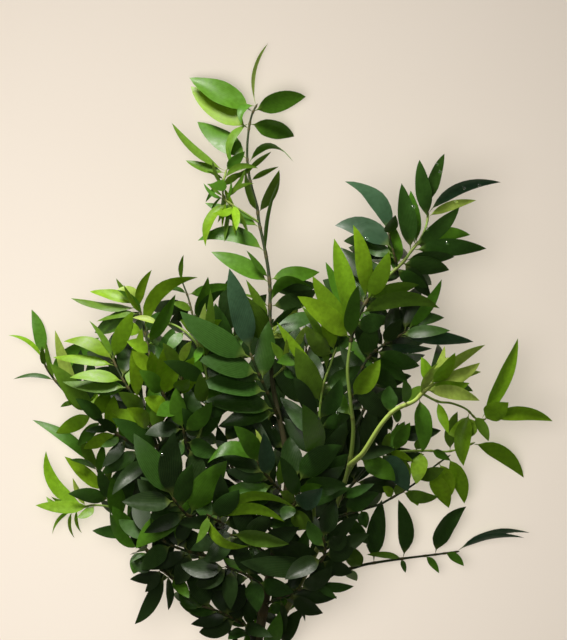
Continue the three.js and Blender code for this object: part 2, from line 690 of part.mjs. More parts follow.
    pairs: { count: 1, from: 0.2, to: 0.95, length: 52, tilt: -30 },
  },
  {
    name: "low_front_shoot",
    parent: "main_stem",
    radii: [1.6, 1.0],
    line: [
      [273, 562], [264, 552, 72], [252, 543, 86], [240, 536, 94], [229, 533, 98],
    ],
    leaves: [
      [231, 533, 288, 545, 14, 18, 25, 0.12, 0.08],
      [252, 543, 198, 518, 2, 20, 20, 0.06, 0.08],
      [240, 536, 190, 548, -8, 20, 20, -0.1, 0.08],
      [258, 548, 300, 530, 8, 22, 20, 0.1, 0.08],
      [244, 538, 270, 512, 0, 20, 20, -0.1, 0.08],
      [232, 533, 206, 562, -8, 20, 20, 0.1, 0.08],
      [262, 551, 318, 554, -2, 20, 25, 0.12, 0.08],
    ],
    pairs: { count: 1, from: 0.2, to: 0.95, length: 52, tilt: -30 },
  },
  {
    name: "low_right_shoot",
    parent: "right_limb",
    radii: [1.6, 1.0],
    line: [
      [307, 572], [317, 566, 66], [324, 556, 80], [325, 545, 90], [322, 534, 96],
    ],
    leaves: [
      [316, 566, 240, 561, 18, 23, 20, 0.06, 0.08],
      [323, 540, 345, 530, 8, 18, 20, -0.5, 0.05],
      [325, 546, 308, 520, 8, 16, 25, 0.1, 0.08],
      [324, 554, 354, 548, 2, 20, 20, -0.1, 0.08],
      [321, 560, 353, 572, -6, 18, 20, -0.1, 0.08],
      [323, 537, 336, 500, 4, 20, 25, 0.08, 0.08],
      [322, 558, 286, 580, 2, 20, 20, -0.1, 0.08],
      [325, 548, 358, 514, -2, 16, 25, 0.06, 0.08],
    ],
    pairs: { count: 1, from: 0.25, to: 0.95, length: 46, tilt: -30 },
  },
  {
    name: "foot_right_shoot",
    parent: "main_stem",
    radii: [1.5, 0.9],
    line: [
      [264, 608], [276, 601, 52], [290, 595, 62], [304, 588, 68], [318, 583, 70],
    ],
    leaves: [
      [292, 594, 322, 617, -10, 18, 20, -0.1, 0.08],
      [268, 606, 306, 584, 14, 16, 20, 0.1, 0.08],
      [316, 583, 354, 586, -4, 12, 25, -0.15, 0.06],
      [314, 584, 336, 600, -6, 9, 25, 0.1, 0.06],
      [272, 603, 287, 620, -4, 12, 30, -0.1, 0.06],
      [282, 599, 306, 625, -16, 7, 40, 0.3, 0.05],
      [300, 590, 334, 566, 2, 18, 20, -0.1, 0.08],
      [280, 599, 281, 641, -14, 10, 40, 0.2, 0.06],
      [306, 587, 342, 553, -4, 14, 25, 0.1, 0.08],
    ],
    pairs: { count: 1, from: 0.15, to: 0.9, length: 44, tilt: -30 },
  },
  {
    name: "foot_left_shoot",
    parent: "left_limb",
    radii: [1.5, 0.9],
    line: [
      [251, 632], [243, 627, 44], [232, 620, 54], [217, 612, 60], [201, 607, 62],
    ],
    leaves: [
      [202, 607, 178, 592, -6, 8, 30, 0.5, 0.06],
      [236, 621, 198, 635, -12, 20, 15, 0.12, 0.06],
      [220, 613, 178, 606, -10, 16, 25, 0.06, 0.06],
      [243, 624, 223, 590, 8, 20, 20, -0.08, 0.08],
      [226, 616, 244, 584, 8, 20, 20, -0.08, 0.08],
      [210, 609, 186, 574, 4, 20, 20, -0.08, 0.08],
      [252, 630, 245, 594, 12, 18, 25, 0.06, 0.08],
      [206, 608, 204, 576, 8, 18, 25, 0.08, 0.08],
    ],
    pairs: { count: 1, from: 0.15, to: 0.9, length: 44, tilt: -30 },
  },
  {
    name: "foot_front_shoot",
    parent: "main_stem",
    radii: [1.6, 1.0],
    line: [
      [267, 592], [260, 585, 62], [250, 577, 78], [238, 570, 88], [225, 565, 94],
    ],
    leaves: [
      [227, 566, 196, 586, -8, 20, 20, 0.1, 0.08],
      [250, 577, 256, 612, -2, 20, 20, 0.1, 0.08],
      [240, 571, 212, 590, -2, 20, 20, -0.1, 0.08],
      [258, 583, 292, 596, 4, 20, 20, 0.1, 0.08],
      [232, 568, 232, 608, -4, 18, 25, -0.1, 0.08],
      [246, 575, 270, 548, 4, 20, 25, -0.1, 0.08],
      [226, 565, 180, 566, -8, 20, 20, 0.1, 0.08],
    ],
    pairs: { count: 1, from: 0.2, to: 0.95, length: 46, tilt: -25 },
  },
  {
    name: "hanging_left_shoot",
    parent: "left_low_limb",
    radii: [1.5, 0.9],
    line: [
      [186, 595], [177, 586, 42], [169, 578, 54], [161, 570, 62], [154, 562, 66],
    ],
    leaves: [
      [164, 573, 136, 629, -14, 16, 20, 0.06, 0.05],
      [166, 576, 167, 613, -14, 9, 25, 0.12, 0.05],
      [160, 569, 144, 594, -10, 12, 30, 0.1, 0.06],
      [155, 563, 131, 562, -4, 18, 20, 0.2, 0.1],
      [172, 581, 188, 556, 4, 22, 20, 0.1, 0.08],
      [158, 566, 172, 528, 4, 22, 20, 0.08, 0.08],
      [176, 585, 200, 594, 0, 20, 20, -0.1, 0.08],
      [170, 580, 150, 541, 4, 20, 25, -0.08, 0.08],
    ],
    pairs: { count: 1, from: 0.15, to: 0.95, length: 46, tilt: -25 },
  },
  {
    name: "left_belly_shoot",
    parent: "left_limb",
    radii: [1.7, 1.0],
    line: [
      [226, 561], [208, 557, 62], [190, 552, 74], [172, 545, 82], [156, 535, 86],
    ],
    leaves: [
      [157, 536, 118, 520, -14, 18, 25, 0.1, 0.08],
      [172, 545, 142, 572, -14, 20, 20, -0.12, 0.08],
      [190, 552, 176, 586, -8, 20, 20, 0.1, 0.08],
      [164, 541, 160, 500, 0, 22, 25, 0.08, 0.08],
      [204, 556, 176, 530, 6, 22, 20, -0.1, 0.08],
      [198, 555, 210, 586, 0, 20, 20, 0.08, 0.08],
      [158, 537, 134, 500, -4, 20, 25, 0.1, 0.08],
    ],
    pairs: { count: 1, from: 0.15, to: 0.95, length: 48, tilt: -25 },
  },
  {
    name: "back_left_shoot",
    parent: "left_limb",
    radii: [1.7, 1.0],
    line: [
      [180, 490], [166, 462, 40], [152, 430, 32], [140, 400, 28], [128, 370, 24],
    ],
    leaves: [],
    pairs: { count: 5, from: 0.12, to: 0.98, length: 56, tilt: -5 },
  },
  {
    name: "back_middle_shoot",
    parent: "main_stem",
    radii: [1.9, 1.0],
    line: [
      [277, 540], [256, 512, 50], [236, 478, 42], [222, 445, 36], [212, 412, 32],
      [205, 380, 28],
    ],
    leaves: [],
    pairs: { count: 6, from: 0.12, to: 0.98, length: 60, tilt: 5 },
  },
  {
    name: "back_high_shoot",
    parent: "main_stem",
    radii: [1.6, 1.0],
    line: [[285, 445], [264, 418, 70], [246, 388, 58], [234, 355, 48], [228, 325, 42]],
    leaves: [],
    pairs: { count: 5, from: 0.12, to: 0.98, length: 56, tilt: 0 },
  },
  {
    name: "back_centre_shoot",
    parent: "main_stem",
    radii: [1.7, 1.0],
    line: [[288, 478], [296, 446, 66], [304, 412, 54], [308, 378, 46], [306, 346, 40]],
    leaves: [],
    pairs: { count: 5, from: 0.12, to: 0.98, length: 56, tilt: 0 },
  },
  {
    name: "back_right_shoot",
    parent: "right_limb",
    radii: [1.7, 1.0],
    line: [
      [353, 432], [366, 404, 78], [376, 374, 62], [386, 344, 52], [394, 314, 44],
    ],
    leaves: [],
    pairs: { count: 5, from: 0.15, to: 0.98, length: 52, tilt: 0 },
  },
  {
    name: "back_arm_shoot",
    parent: "right_limb",
    radii: [1.7, 1.0],
    line: [[338, 503], [352, 486, 58], [368, 468, 46], [386, 448, 38], [400, 424, 32]],
    leaves: [],
    pairs: { count: 4, from: 0.15, to: 0.98, length: 48, tilt: -5 },
  },
  {
    name: "back_foot_shoot",
    parent: "right_limb",
    radii: [1.6, 1.0],
    line: [[302, 583], [306, 555, 36], [312, 525, 30], [322, 495, 28], [332, 468, 26]],
    leaves: [],
    pairs: { count: 4, from: 0.12, to: 0.98, length: 50, tilt: 0 },
  },
];

const wasm = await Module();
wasm.setup();

const up = new THREE.Vector3(0, 0, 1);
const branches = [...limbs, ...shoots];
const byName = new Map(branches.map((branch) => [branch.name, branch]));

// A point of the sheet, in the part's frame
function onSheet(x, y, z) {
  return new THREE.Vector3(x - sheetMiddleX, sheetMiddleY - y, z);
}

// Of some places, the one that lies nearest to a point, seen from above
function nearestOf(places, point) {
  const distances = places.map((place) => Math.hypot(place.x - point.x, place.y - point.y));
  return places[distances.indexOf(Math.min(...distances))];
}

function twigCurve(branch) {
  const points = branch.line.map(([x, y, z]) => onSheet(x, y, z ?? 0));
  if (branch.parent) {
    const places = twigAxis(byName.get(branch.parent)).getSpacedPoints(axisPlaces);
    points[0] = nearestOf(places, points[0]);
  }
  return new THREE.CatmullRomCurve3(points, false, "catmullrom", 0.5);
}

function twigSteps(curve) {
  return Math.max(leastTwigSections, Math.round(curve.getLength() / twigSectionStep));
}

// The straight runs between a twig's sections, on which all that it carries sits
function twigAxis(branch) {
  const curve = twigCurve(branch);
  const joints = curve.getSpacedPoints(twigSteps(curve));
  const axis = new THREE.CurvePath();
  for (let i = 1; i < joints.length; i += 1) {
    axis.add(new THREE.LineCurve3(joints[i - 1], joints[i]));
  }
  return axis;
}

function solidFromMesh(positions, triangles) {
  return new wasm.Manifold(new wasm.Mesh({
    numProp: 3,
    vertProperties: new Float32Array(positions),
    triVerts: new Uint32Array(triangles),
  }));
}

function solidFromGeometry(geometry) {
  geometry.deleteAttribute("normal");
  geometry.deleteAttribute("uv");
  const merged = mergeVertices(geometry);
  return solidFromMesh(merged.attributes.position.array, merged.index.array);
}

// A twig: a many-sided tube along its line, thinner towards its tip. With a
// margin it is the space that its neighbours keep clear of.
function twigSolid(branch, margin = 0) {
  const [thick, thin] = branch.radii;
  const curve = twigCurve(branch);
  const steps = twigSteps(curve);
  const sides = thick > thickTwig ? thickTwigSides : thinTwigSides;
  const corners = Array.from({ length: sides }, (_, side) => {
    const angle = (2 * Math.PI * side) / sides;
    return new THREE.Vector2(Math.cos(angle), Math.sin(angle));
  });
  const section = new THREE.Shape(corners);
  const geometry = new THREE.ExtrudeGeometry(section, {
    steps, extrudePath: curve, bevelEnabled: false,
  });
  const centres = curve.getSpacedPoints(steps);
  const position = geometry.attributes.position;
  const vertex = new THREE.Vector3();
  for (let i = 0; i < position.count; i += 1) {
    vertex.fromBufferAttribute(position, i);
    const distances = centres.map((centre) => centre.distanceToSquared(vertex));
    const ring = distances.indexOf(Math.min(...distances));
    const radius = thick + (thin - thick) * (ring / steps) + margin;
    vertex.sub(centres[ring]).multiplyScalar(radius).add(centres[ring]);
    if (ring === 0) {
      vertex.addScaledVector(curve.getTangent(0), -margin);
    }
    if (ring === steps) {
      vertex.addScaledVector(curve.getTangent(1), margin);
    }
    position.setXYZ(i, vertex.x, vertex.y, vertex.z);
  }
  return solidFromGeometry(geometry);
}

// A leaf's half width at a share of its length
function halfWidth(leaf, place) {
  if (place === 0) {
    return petioleFoot / 2;
  }
  if (place === petioleShare) {
    return petioleWidth / 2;
  }
  const along = (place - petioleShare) / (1 - petioleShare);
  const rise = (along / widestAt) ** (widestAt * fullness);
  const fall = ((1 - along) / (1 - widestAt)) ** ((1 - widestAt) * fullness);
  return (leaf.width / 2) * rise * fall;
}

// A leaf's blade: a three-sided section, flat below and ridged above, carried
// along a bent line and drawn to a point at the tip
function bladeMesh(leaf, margin = 0, from = 0) {
  const along = leaf.tip.clone().sub(leaf.base);
  const length = along.length();
  along.normalize();
  const left = up.clone().cross(along).normalize();
  const above = along.clone().cross(left);
  const bend = leaf.base.clone().addScaledVector(along, length / 2);
  bend.addScaledVector(left, leaf.bow * length);
  bend.addScaledVector(above, leaf.arch * length);
  const line = new THREE.QuadraticBezierCurve3(leaf.base, bend, leaf.tip);
  const roll = THREE.MathUtils.degToRad(leaf.roll);
  const edge = left.multiplyScalar(Math.cos(roll)).addScaledVector(above, Math.sin(roll));
  const positions = [];
  const triangles = [];
  const places = leaf.sections.filter((place) => place >= from);
  places.forEach((place, ring) => {
    const centre = line.getPoint(place);
    const tangent = line.getTangent(place);
    const side = edge.clone().addScaledVector(tangent, -edge.dot(tangent)).normalize();
    const face = tangent.clone().cross(side);
    if (place === 1) {
      centre.addScaledVector(tangent, margin);
      positions.push(...centre);
      return;
    }
    const half = halfWidth(leaf, place) + margin;
    const thick = place === 0 ? petioleFoot : bladeThickness;
    const foot = centre.clone().addScaledVector(face, -margin);
    positions.push(...foot.clone().addScaledVector(side, half));
    positions.push(...foot.clone().addScaledVector(side, -half));
    positions.push(...centre.addScaledVector(face, thick + margin));
    if (ring > 0) {
      const here = ring * 3;
      const back = here - 3;
      for (let i = 0; i < 3; i += 1) {
        const j = (i + 1) % 3;
        triangles.push(back + i, here + j, back + j, back + i, here + i, here + j);
      }
    }
  });
  const point = positions.length / 3 - 1;
  for (let i = 0; i < 3; i += 1) {
    triangles.push(point - 3 + i, point, point - 3 + ((i + 1) % 3));
  }
  triangles.push(0, 1, 2);
  return { positions, triangles };
}

function drawnLeaves(branch, axis) {
  const places = axis.getSpacedPoints(axisPlaces).slice(endPlaces, -endPlaces);
  return branch.leaves.map(([baseX, baseY, tipX, tipY, rise, width, roll, bow, arch]) => {
    const base = nearestOf(places, onSheet(baseX, baseY, 0));
    const tip = onSheet(tipX, tipY, base.z + rise);
    const sections = base.distanceTo(tip) < shortLeaf ? pairSections : drawnSections;
    return { base, tip, width, roll, bow, arch, sections };
  });
}

// A share of 1 that looks random from one whole number to the next
function variation(count) {
  return (count * goldenRatio) % 1;
}

function pairedLeaves(branch, axis) {
  const { count, from, to, length, tilt } = branch.pairs;
  const leaves = [];
  for (let i = 0; i < 2 * count; i += 1) {
    const place = from + ((to - from) * (Math.floor(i / 2) + 0.5)) / count;
    const hand = i % 2 === 0 ? 1 : -1;
    const root = axis.getPoint(place);
    const along = axis.getTangent(place);
    const left = up.clone().cross(along).normalize();
    const above = along.clone().cross(left);
    const spreadDegrees = pairSpread + pairSpreadVariation * (variation(i + 1) - 0.5);
    const leanDegrees = tilt + pairTiltVariation * (variation(i + 4) - 0.5);
    const spread = THREE.MathUtils.degToRad(spreadDegrees);
    const lean = THREE.MathUtils.degToRad(leanDegrees);
    const reach = length * (pairLeastShare + pairLengthVariation * variation(i + 7));
    const away = left.multiplyScalar(hand * Math.cos(lean)).addScaledVector(above, Math.sin(lean));
    const tip = root.clone().addScaledVector(along, reach * Math.cos(spread));
    tip.addScaledVector(away, reach * Math.sin(spread));
    leaves.push({
      base: root,
      tip,
      width: reach * pairWidthShare,
      roll: pairRoll * (variation(i + 2) - 0.5),
      bow: pairBow * (variation(i + 5) - 0.5),
      arch: pairArch,
      sections: pairSections,
    });
  }
  return leaves;
}

// Lifts a leaf's tip until no part of the leaf is below the surface
function liftOffSurface(leaf) {
  for (let i = 0; i < liftTries; i += 1) {
    const heights = bladeMesh(leaf).positions.filter((_, j) => j % 3 === 2);
    const lowest = Math.min(...heights);
    if (lowest > -surfaceTolerance) {
      return;
    }
    leaf.tip.z -= lowest;
  }
}

function leafSolid(leaf, margin = 0, from = 0) {
  const { positions, triangles } = bladeMesh(leaf, margin, from);
  return solidFromMesh(positions, triangles);
}

function meets(solid, box, others) {
  return others.some((other) => box.intersectsBox(other.box)
    && !solid.intersect(other.solid).isEmpty());
}

function boxOf(solid) {
  const { min, max } = solid.boundingBox();
  return new THREE.Box3(new THREE.Vector3(...min), new THREE.Vector3(...max));
}

// Places a leaf where it passes all that already stands, or leaves it out
function placeLeaf(leaf, branch, placed) {
  const wanted = leaf.tip.z;
  for (const move of tipMoves) {
    leaf.tip.z = wanted + move;
    liftOffSurface(leaf);
    const whole = leafSolid(leaf, pieceGap);
    const free = leafSolid(leaf, pieceGap, petioleShare);
    const strange = placed.filter((other) => other.branch !== branch);
    const own = placed.filter((other) => other.branch === branch);
    if (!meets(whole, boxOf(whole), strange) && !meets(free, boxOf(free), own)) {
      const solid = leafSolid(leaf);
      placed.push({ branch, solid, box: boxOf(solid) });
      return solid;
    }
  }
  return null;
}

function meshFromSolid(solid, name, finish) {
  const { vertProperties, triVerts } = solid.getMesh();
  const geometry = new THREE.BufferGeometry();
  geometry.setAttribute("position", new THREE.BufferAttribute(vertProperties, 3));
  geometry.setIndex(new THREE.BufferAttribute(triVerts, 1));
  geometry.computeVertexNormals();
  const mesh = new THREE.Mesh(geometry, new THREE.MeshStandardMaterial(finish));
  mesh.name = name;
  return mesh;
}

// The wood first: each twig is cut back to a small gap from what it grows on
const placed = [];
const wood = new Map();
for (const branch of branches) {
  let solid = twigSolid(branch);
  if (branch.parent) {
    solid = solid.subtract(twigSolid(byName.get(branch.parent), pieceGap));
  }
  wood.set(branch, solid);
  placed.push({ branch, solid, box: boxOf(solid) });
}

// Then the leaves: all those drawn one by one, before any that stand in pairs
const grown = new Map(shoots.map((branch) => [branch, []]));
for (const kind of [drawnLeaves, pairedLeaves]) {
  for (const branch of shoots) {
    if (kind === pairedLeaves && !branch.pairs) {
      continue;
    }
    for (const leaf of kind(branch, twigAxis(branch))) {
      const solid = placeLeaf(leaf, branch, placed);
      if (solid) {
        grown.get(branch).push(solid);
      }
    }
  }
}

const branchOfNagi = new THREE.Group();
for (const branch of limbs) {
  const finish = branch.name === "main_stem" ? agedBark : greenBark;
  branchOfNagi.add(meshFromSolid(wood.get(branch), branch.name, finish));
}
for (const branch of shoots) {
  const solid = grown.get(branch).reduce((joined, leaf) => joined.add(leaf), wood.get(branch));
  const finish = branch.name.includes("young") ? newLeaf : oldLeaf;
  branchOfNagi.add(meshFromSolid(solid, branch.name, finish));
}

export default branchOfNagi;
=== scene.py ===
# A fresh nagi branch lying on a pale surface, seen from above.
# The CAD shoots say where each leaf starts, bends and ends. Geometry Nodes grow the real
# blades there, and round twigs along the lines that the wood follows.
import bpy, bmesh, json, math, random
import numpy as np
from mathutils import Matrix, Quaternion, Vector
from mathutils.bvhtree import BVHTree
from mathutils.kdtree import KDTree

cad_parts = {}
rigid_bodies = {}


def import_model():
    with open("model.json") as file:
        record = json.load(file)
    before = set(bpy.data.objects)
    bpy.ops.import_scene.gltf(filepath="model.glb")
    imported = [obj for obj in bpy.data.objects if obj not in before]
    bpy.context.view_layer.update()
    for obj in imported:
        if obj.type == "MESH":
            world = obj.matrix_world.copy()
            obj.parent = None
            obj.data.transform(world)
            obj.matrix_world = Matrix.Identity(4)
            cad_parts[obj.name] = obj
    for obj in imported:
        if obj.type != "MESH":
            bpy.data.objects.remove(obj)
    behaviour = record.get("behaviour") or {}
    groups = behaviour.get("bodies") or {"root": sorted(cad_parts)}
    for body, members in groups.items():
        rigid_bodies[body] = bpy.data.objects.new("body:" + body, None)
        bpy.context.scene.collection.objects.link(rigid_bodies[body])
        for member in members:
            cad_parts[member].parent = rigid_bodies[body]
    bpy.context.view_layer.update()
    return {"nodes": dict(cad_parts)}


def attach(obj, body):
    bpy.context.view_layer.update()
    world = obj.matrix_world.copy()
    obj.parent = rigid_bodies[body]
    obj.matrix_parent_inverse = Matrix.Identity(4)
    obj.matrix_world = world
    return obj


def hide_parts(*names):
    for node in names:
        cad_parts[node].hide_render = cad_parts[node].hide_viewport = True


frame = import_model()
mm = 0.001
farAway = 10.0              # metres, past every point of the branch
dice = random.Random(11)
print("frame loaded:", len(frame["nodes"]), "nodes")


# small helpers
def hexColour(code):
    # sRGB hex to the linear colour that nodes and lights take
    parts = [(code >> shift & 255) / 255 for shift in (16, 8, 0)]
    return [p / 12.92 if p <= 0.04045 else ((p + 0.055) / 1.055) ** 2.4 for p in parts] + [1]


def add(tree, kind, inputs=(), output=0, **settings):
    # adds a node with its settings and links, and gives back one of its outputs
    node = tree.nodes.new(kind)
    for name, value in settings.items():
        setattr(node, name, value)
    pairs = inputs.items() if isinstance(inputs, dict) else enumerate(inputs)
    for key, value in pairs:
        if isinstance(value, bpy.types.NodeSocket):
            tree.links.new(value, node.inputs[key])
        elif value is not None:
            node.inputs[key].default_value = value
    return node.outputs[output] if node.outputs else None


def calc(tree, operation, *values, **settings):
    return add(tree, "ShaderNodeMath", values, operation=operation, **settings)


def vector(tree, operation, *values):
    return add(tree, "ShaderNodeVectorMath", values, operation=operation)


def scaled(tree, value, size):
    return add(tree, "ShaderNodeVectorMath", {0: value, "Scale": size}, operation="SCALE")


def tint(tree, share, first, second):
    # the first colour where share is 0, the second where it is 1
    return add(tree, "ShaderNodeMix", {0: share, 6: first, 7: second}, 2, data_type="RGBA")


def ramp(tree, *values):
    # a value and its range, and the range that it is stretched to
    return add(tree, "ShaderNodeMapRange", values)


def carried(tree, name, kind="FLOAT"):
    # in Geometry Nodes, what the mesh carries under this name
    return add(tree, "GeometryNodeInputNamedAttribute", [name], data_type=kind)


def marked(tree, mesh, name, value, kind="FLOAT"):
    # the mesh, carrying the value under this name at each point
    return add(tree, "GeometryNodeStoreNamedAttribute", {0: mesh, "Name": name, "Value": value},
               data_type=kind, domain="POINT")


def number(tree, name):
    # a number that the mesh carries at each point
    return add(tree, "ShaderNodeAttribute", attribute_name=name, output=2)


def newTree(name, sizes):
    # an empty Geometry Nodes tree whose inputs are the named sizes
    tree = bpy.data.node_groups.new(name, "GeometryNodeTree")
    tree.interface.new_socket("Geometry", in_out="INPUT", socket_type="NodeSocketGeometry")
    tree.interface.new_socket("Geometry", in_out="OUTPUT", socket_type="NodeSocketGeometry")
    for label, value in sizes.items():
        kind = "NodeSocketInt" if isinstance(value, int) else "NodeSocketFloat"
        if isinstance(value, bpy.types.Material):
            kind = "NodeSocketMaterial"
        made = tree.interface.new_socket(label, in_out="INPUT", socket_type=kind)
        made.default_value = value
    start = tree.nodes.new("NodeGroupInput")
    return tree, {socket.name: socket for socket in start.outputs if socket.name}


def grow(piece, tree, sizes):
    # runs a tree on a piece and keeps the result as a plain mesh
    modifier = piece.modifiers.new("grow", "NODES")
    modifier.node_group = tree
    for item in tree.interface.items_tree:
        if item.in_out == "INPUT" and item.name in sizes:
            modifier[item.identifier] = sizes[item.name]
    evaluated = piece.evaluated_get(bpy.context.evaluated_depsgraph_get())
    plain = bpy.data.meshes.new_from_object(evaluated)
    plain.name = piece.name
    # the trees' own meshes bring an empty material place
    for i in reversed(range(len(plain.materials))):
        if not plain.materials[i]:
            plain.materials.pop(index=i)
    piece.modifiers.clear()
    piece.data = plain
    return piece


def newPiece(name, points, edges=(), faces=()):
    mesh = bpy.data.meshes.new(name)
    mesh.from_pydata([tuple(p) for p in points], edges, faces)
    piece = bpy.data.objects.new(name, mesh)
    bpy.context.scene.collection.objects.link(piece)
    return piece


def store(piece, name, kind, values):
    field = {"FLOAT": "value", "FLOAT_VECTOR": "vector", "FLOAT_COLOR": "color"}[kind]
    attribute = piece.data.attributes.new(name, kind, "POINT")
    attribute.data.foreach_set(field, np.array(values, np.float32).ravel())


# the branch is drawn on the photo: a pixel is a millimetre, x to the right and y down,
# and z is the height in millimetres. The sheet's middle is the frame's origin.
sheet = {"middleX": 280, "middleY": 391}


def onSheet(x, y, z):
    return Vector((x - sheet["middleX"], sheet["middleY"] - y, z)) * mm


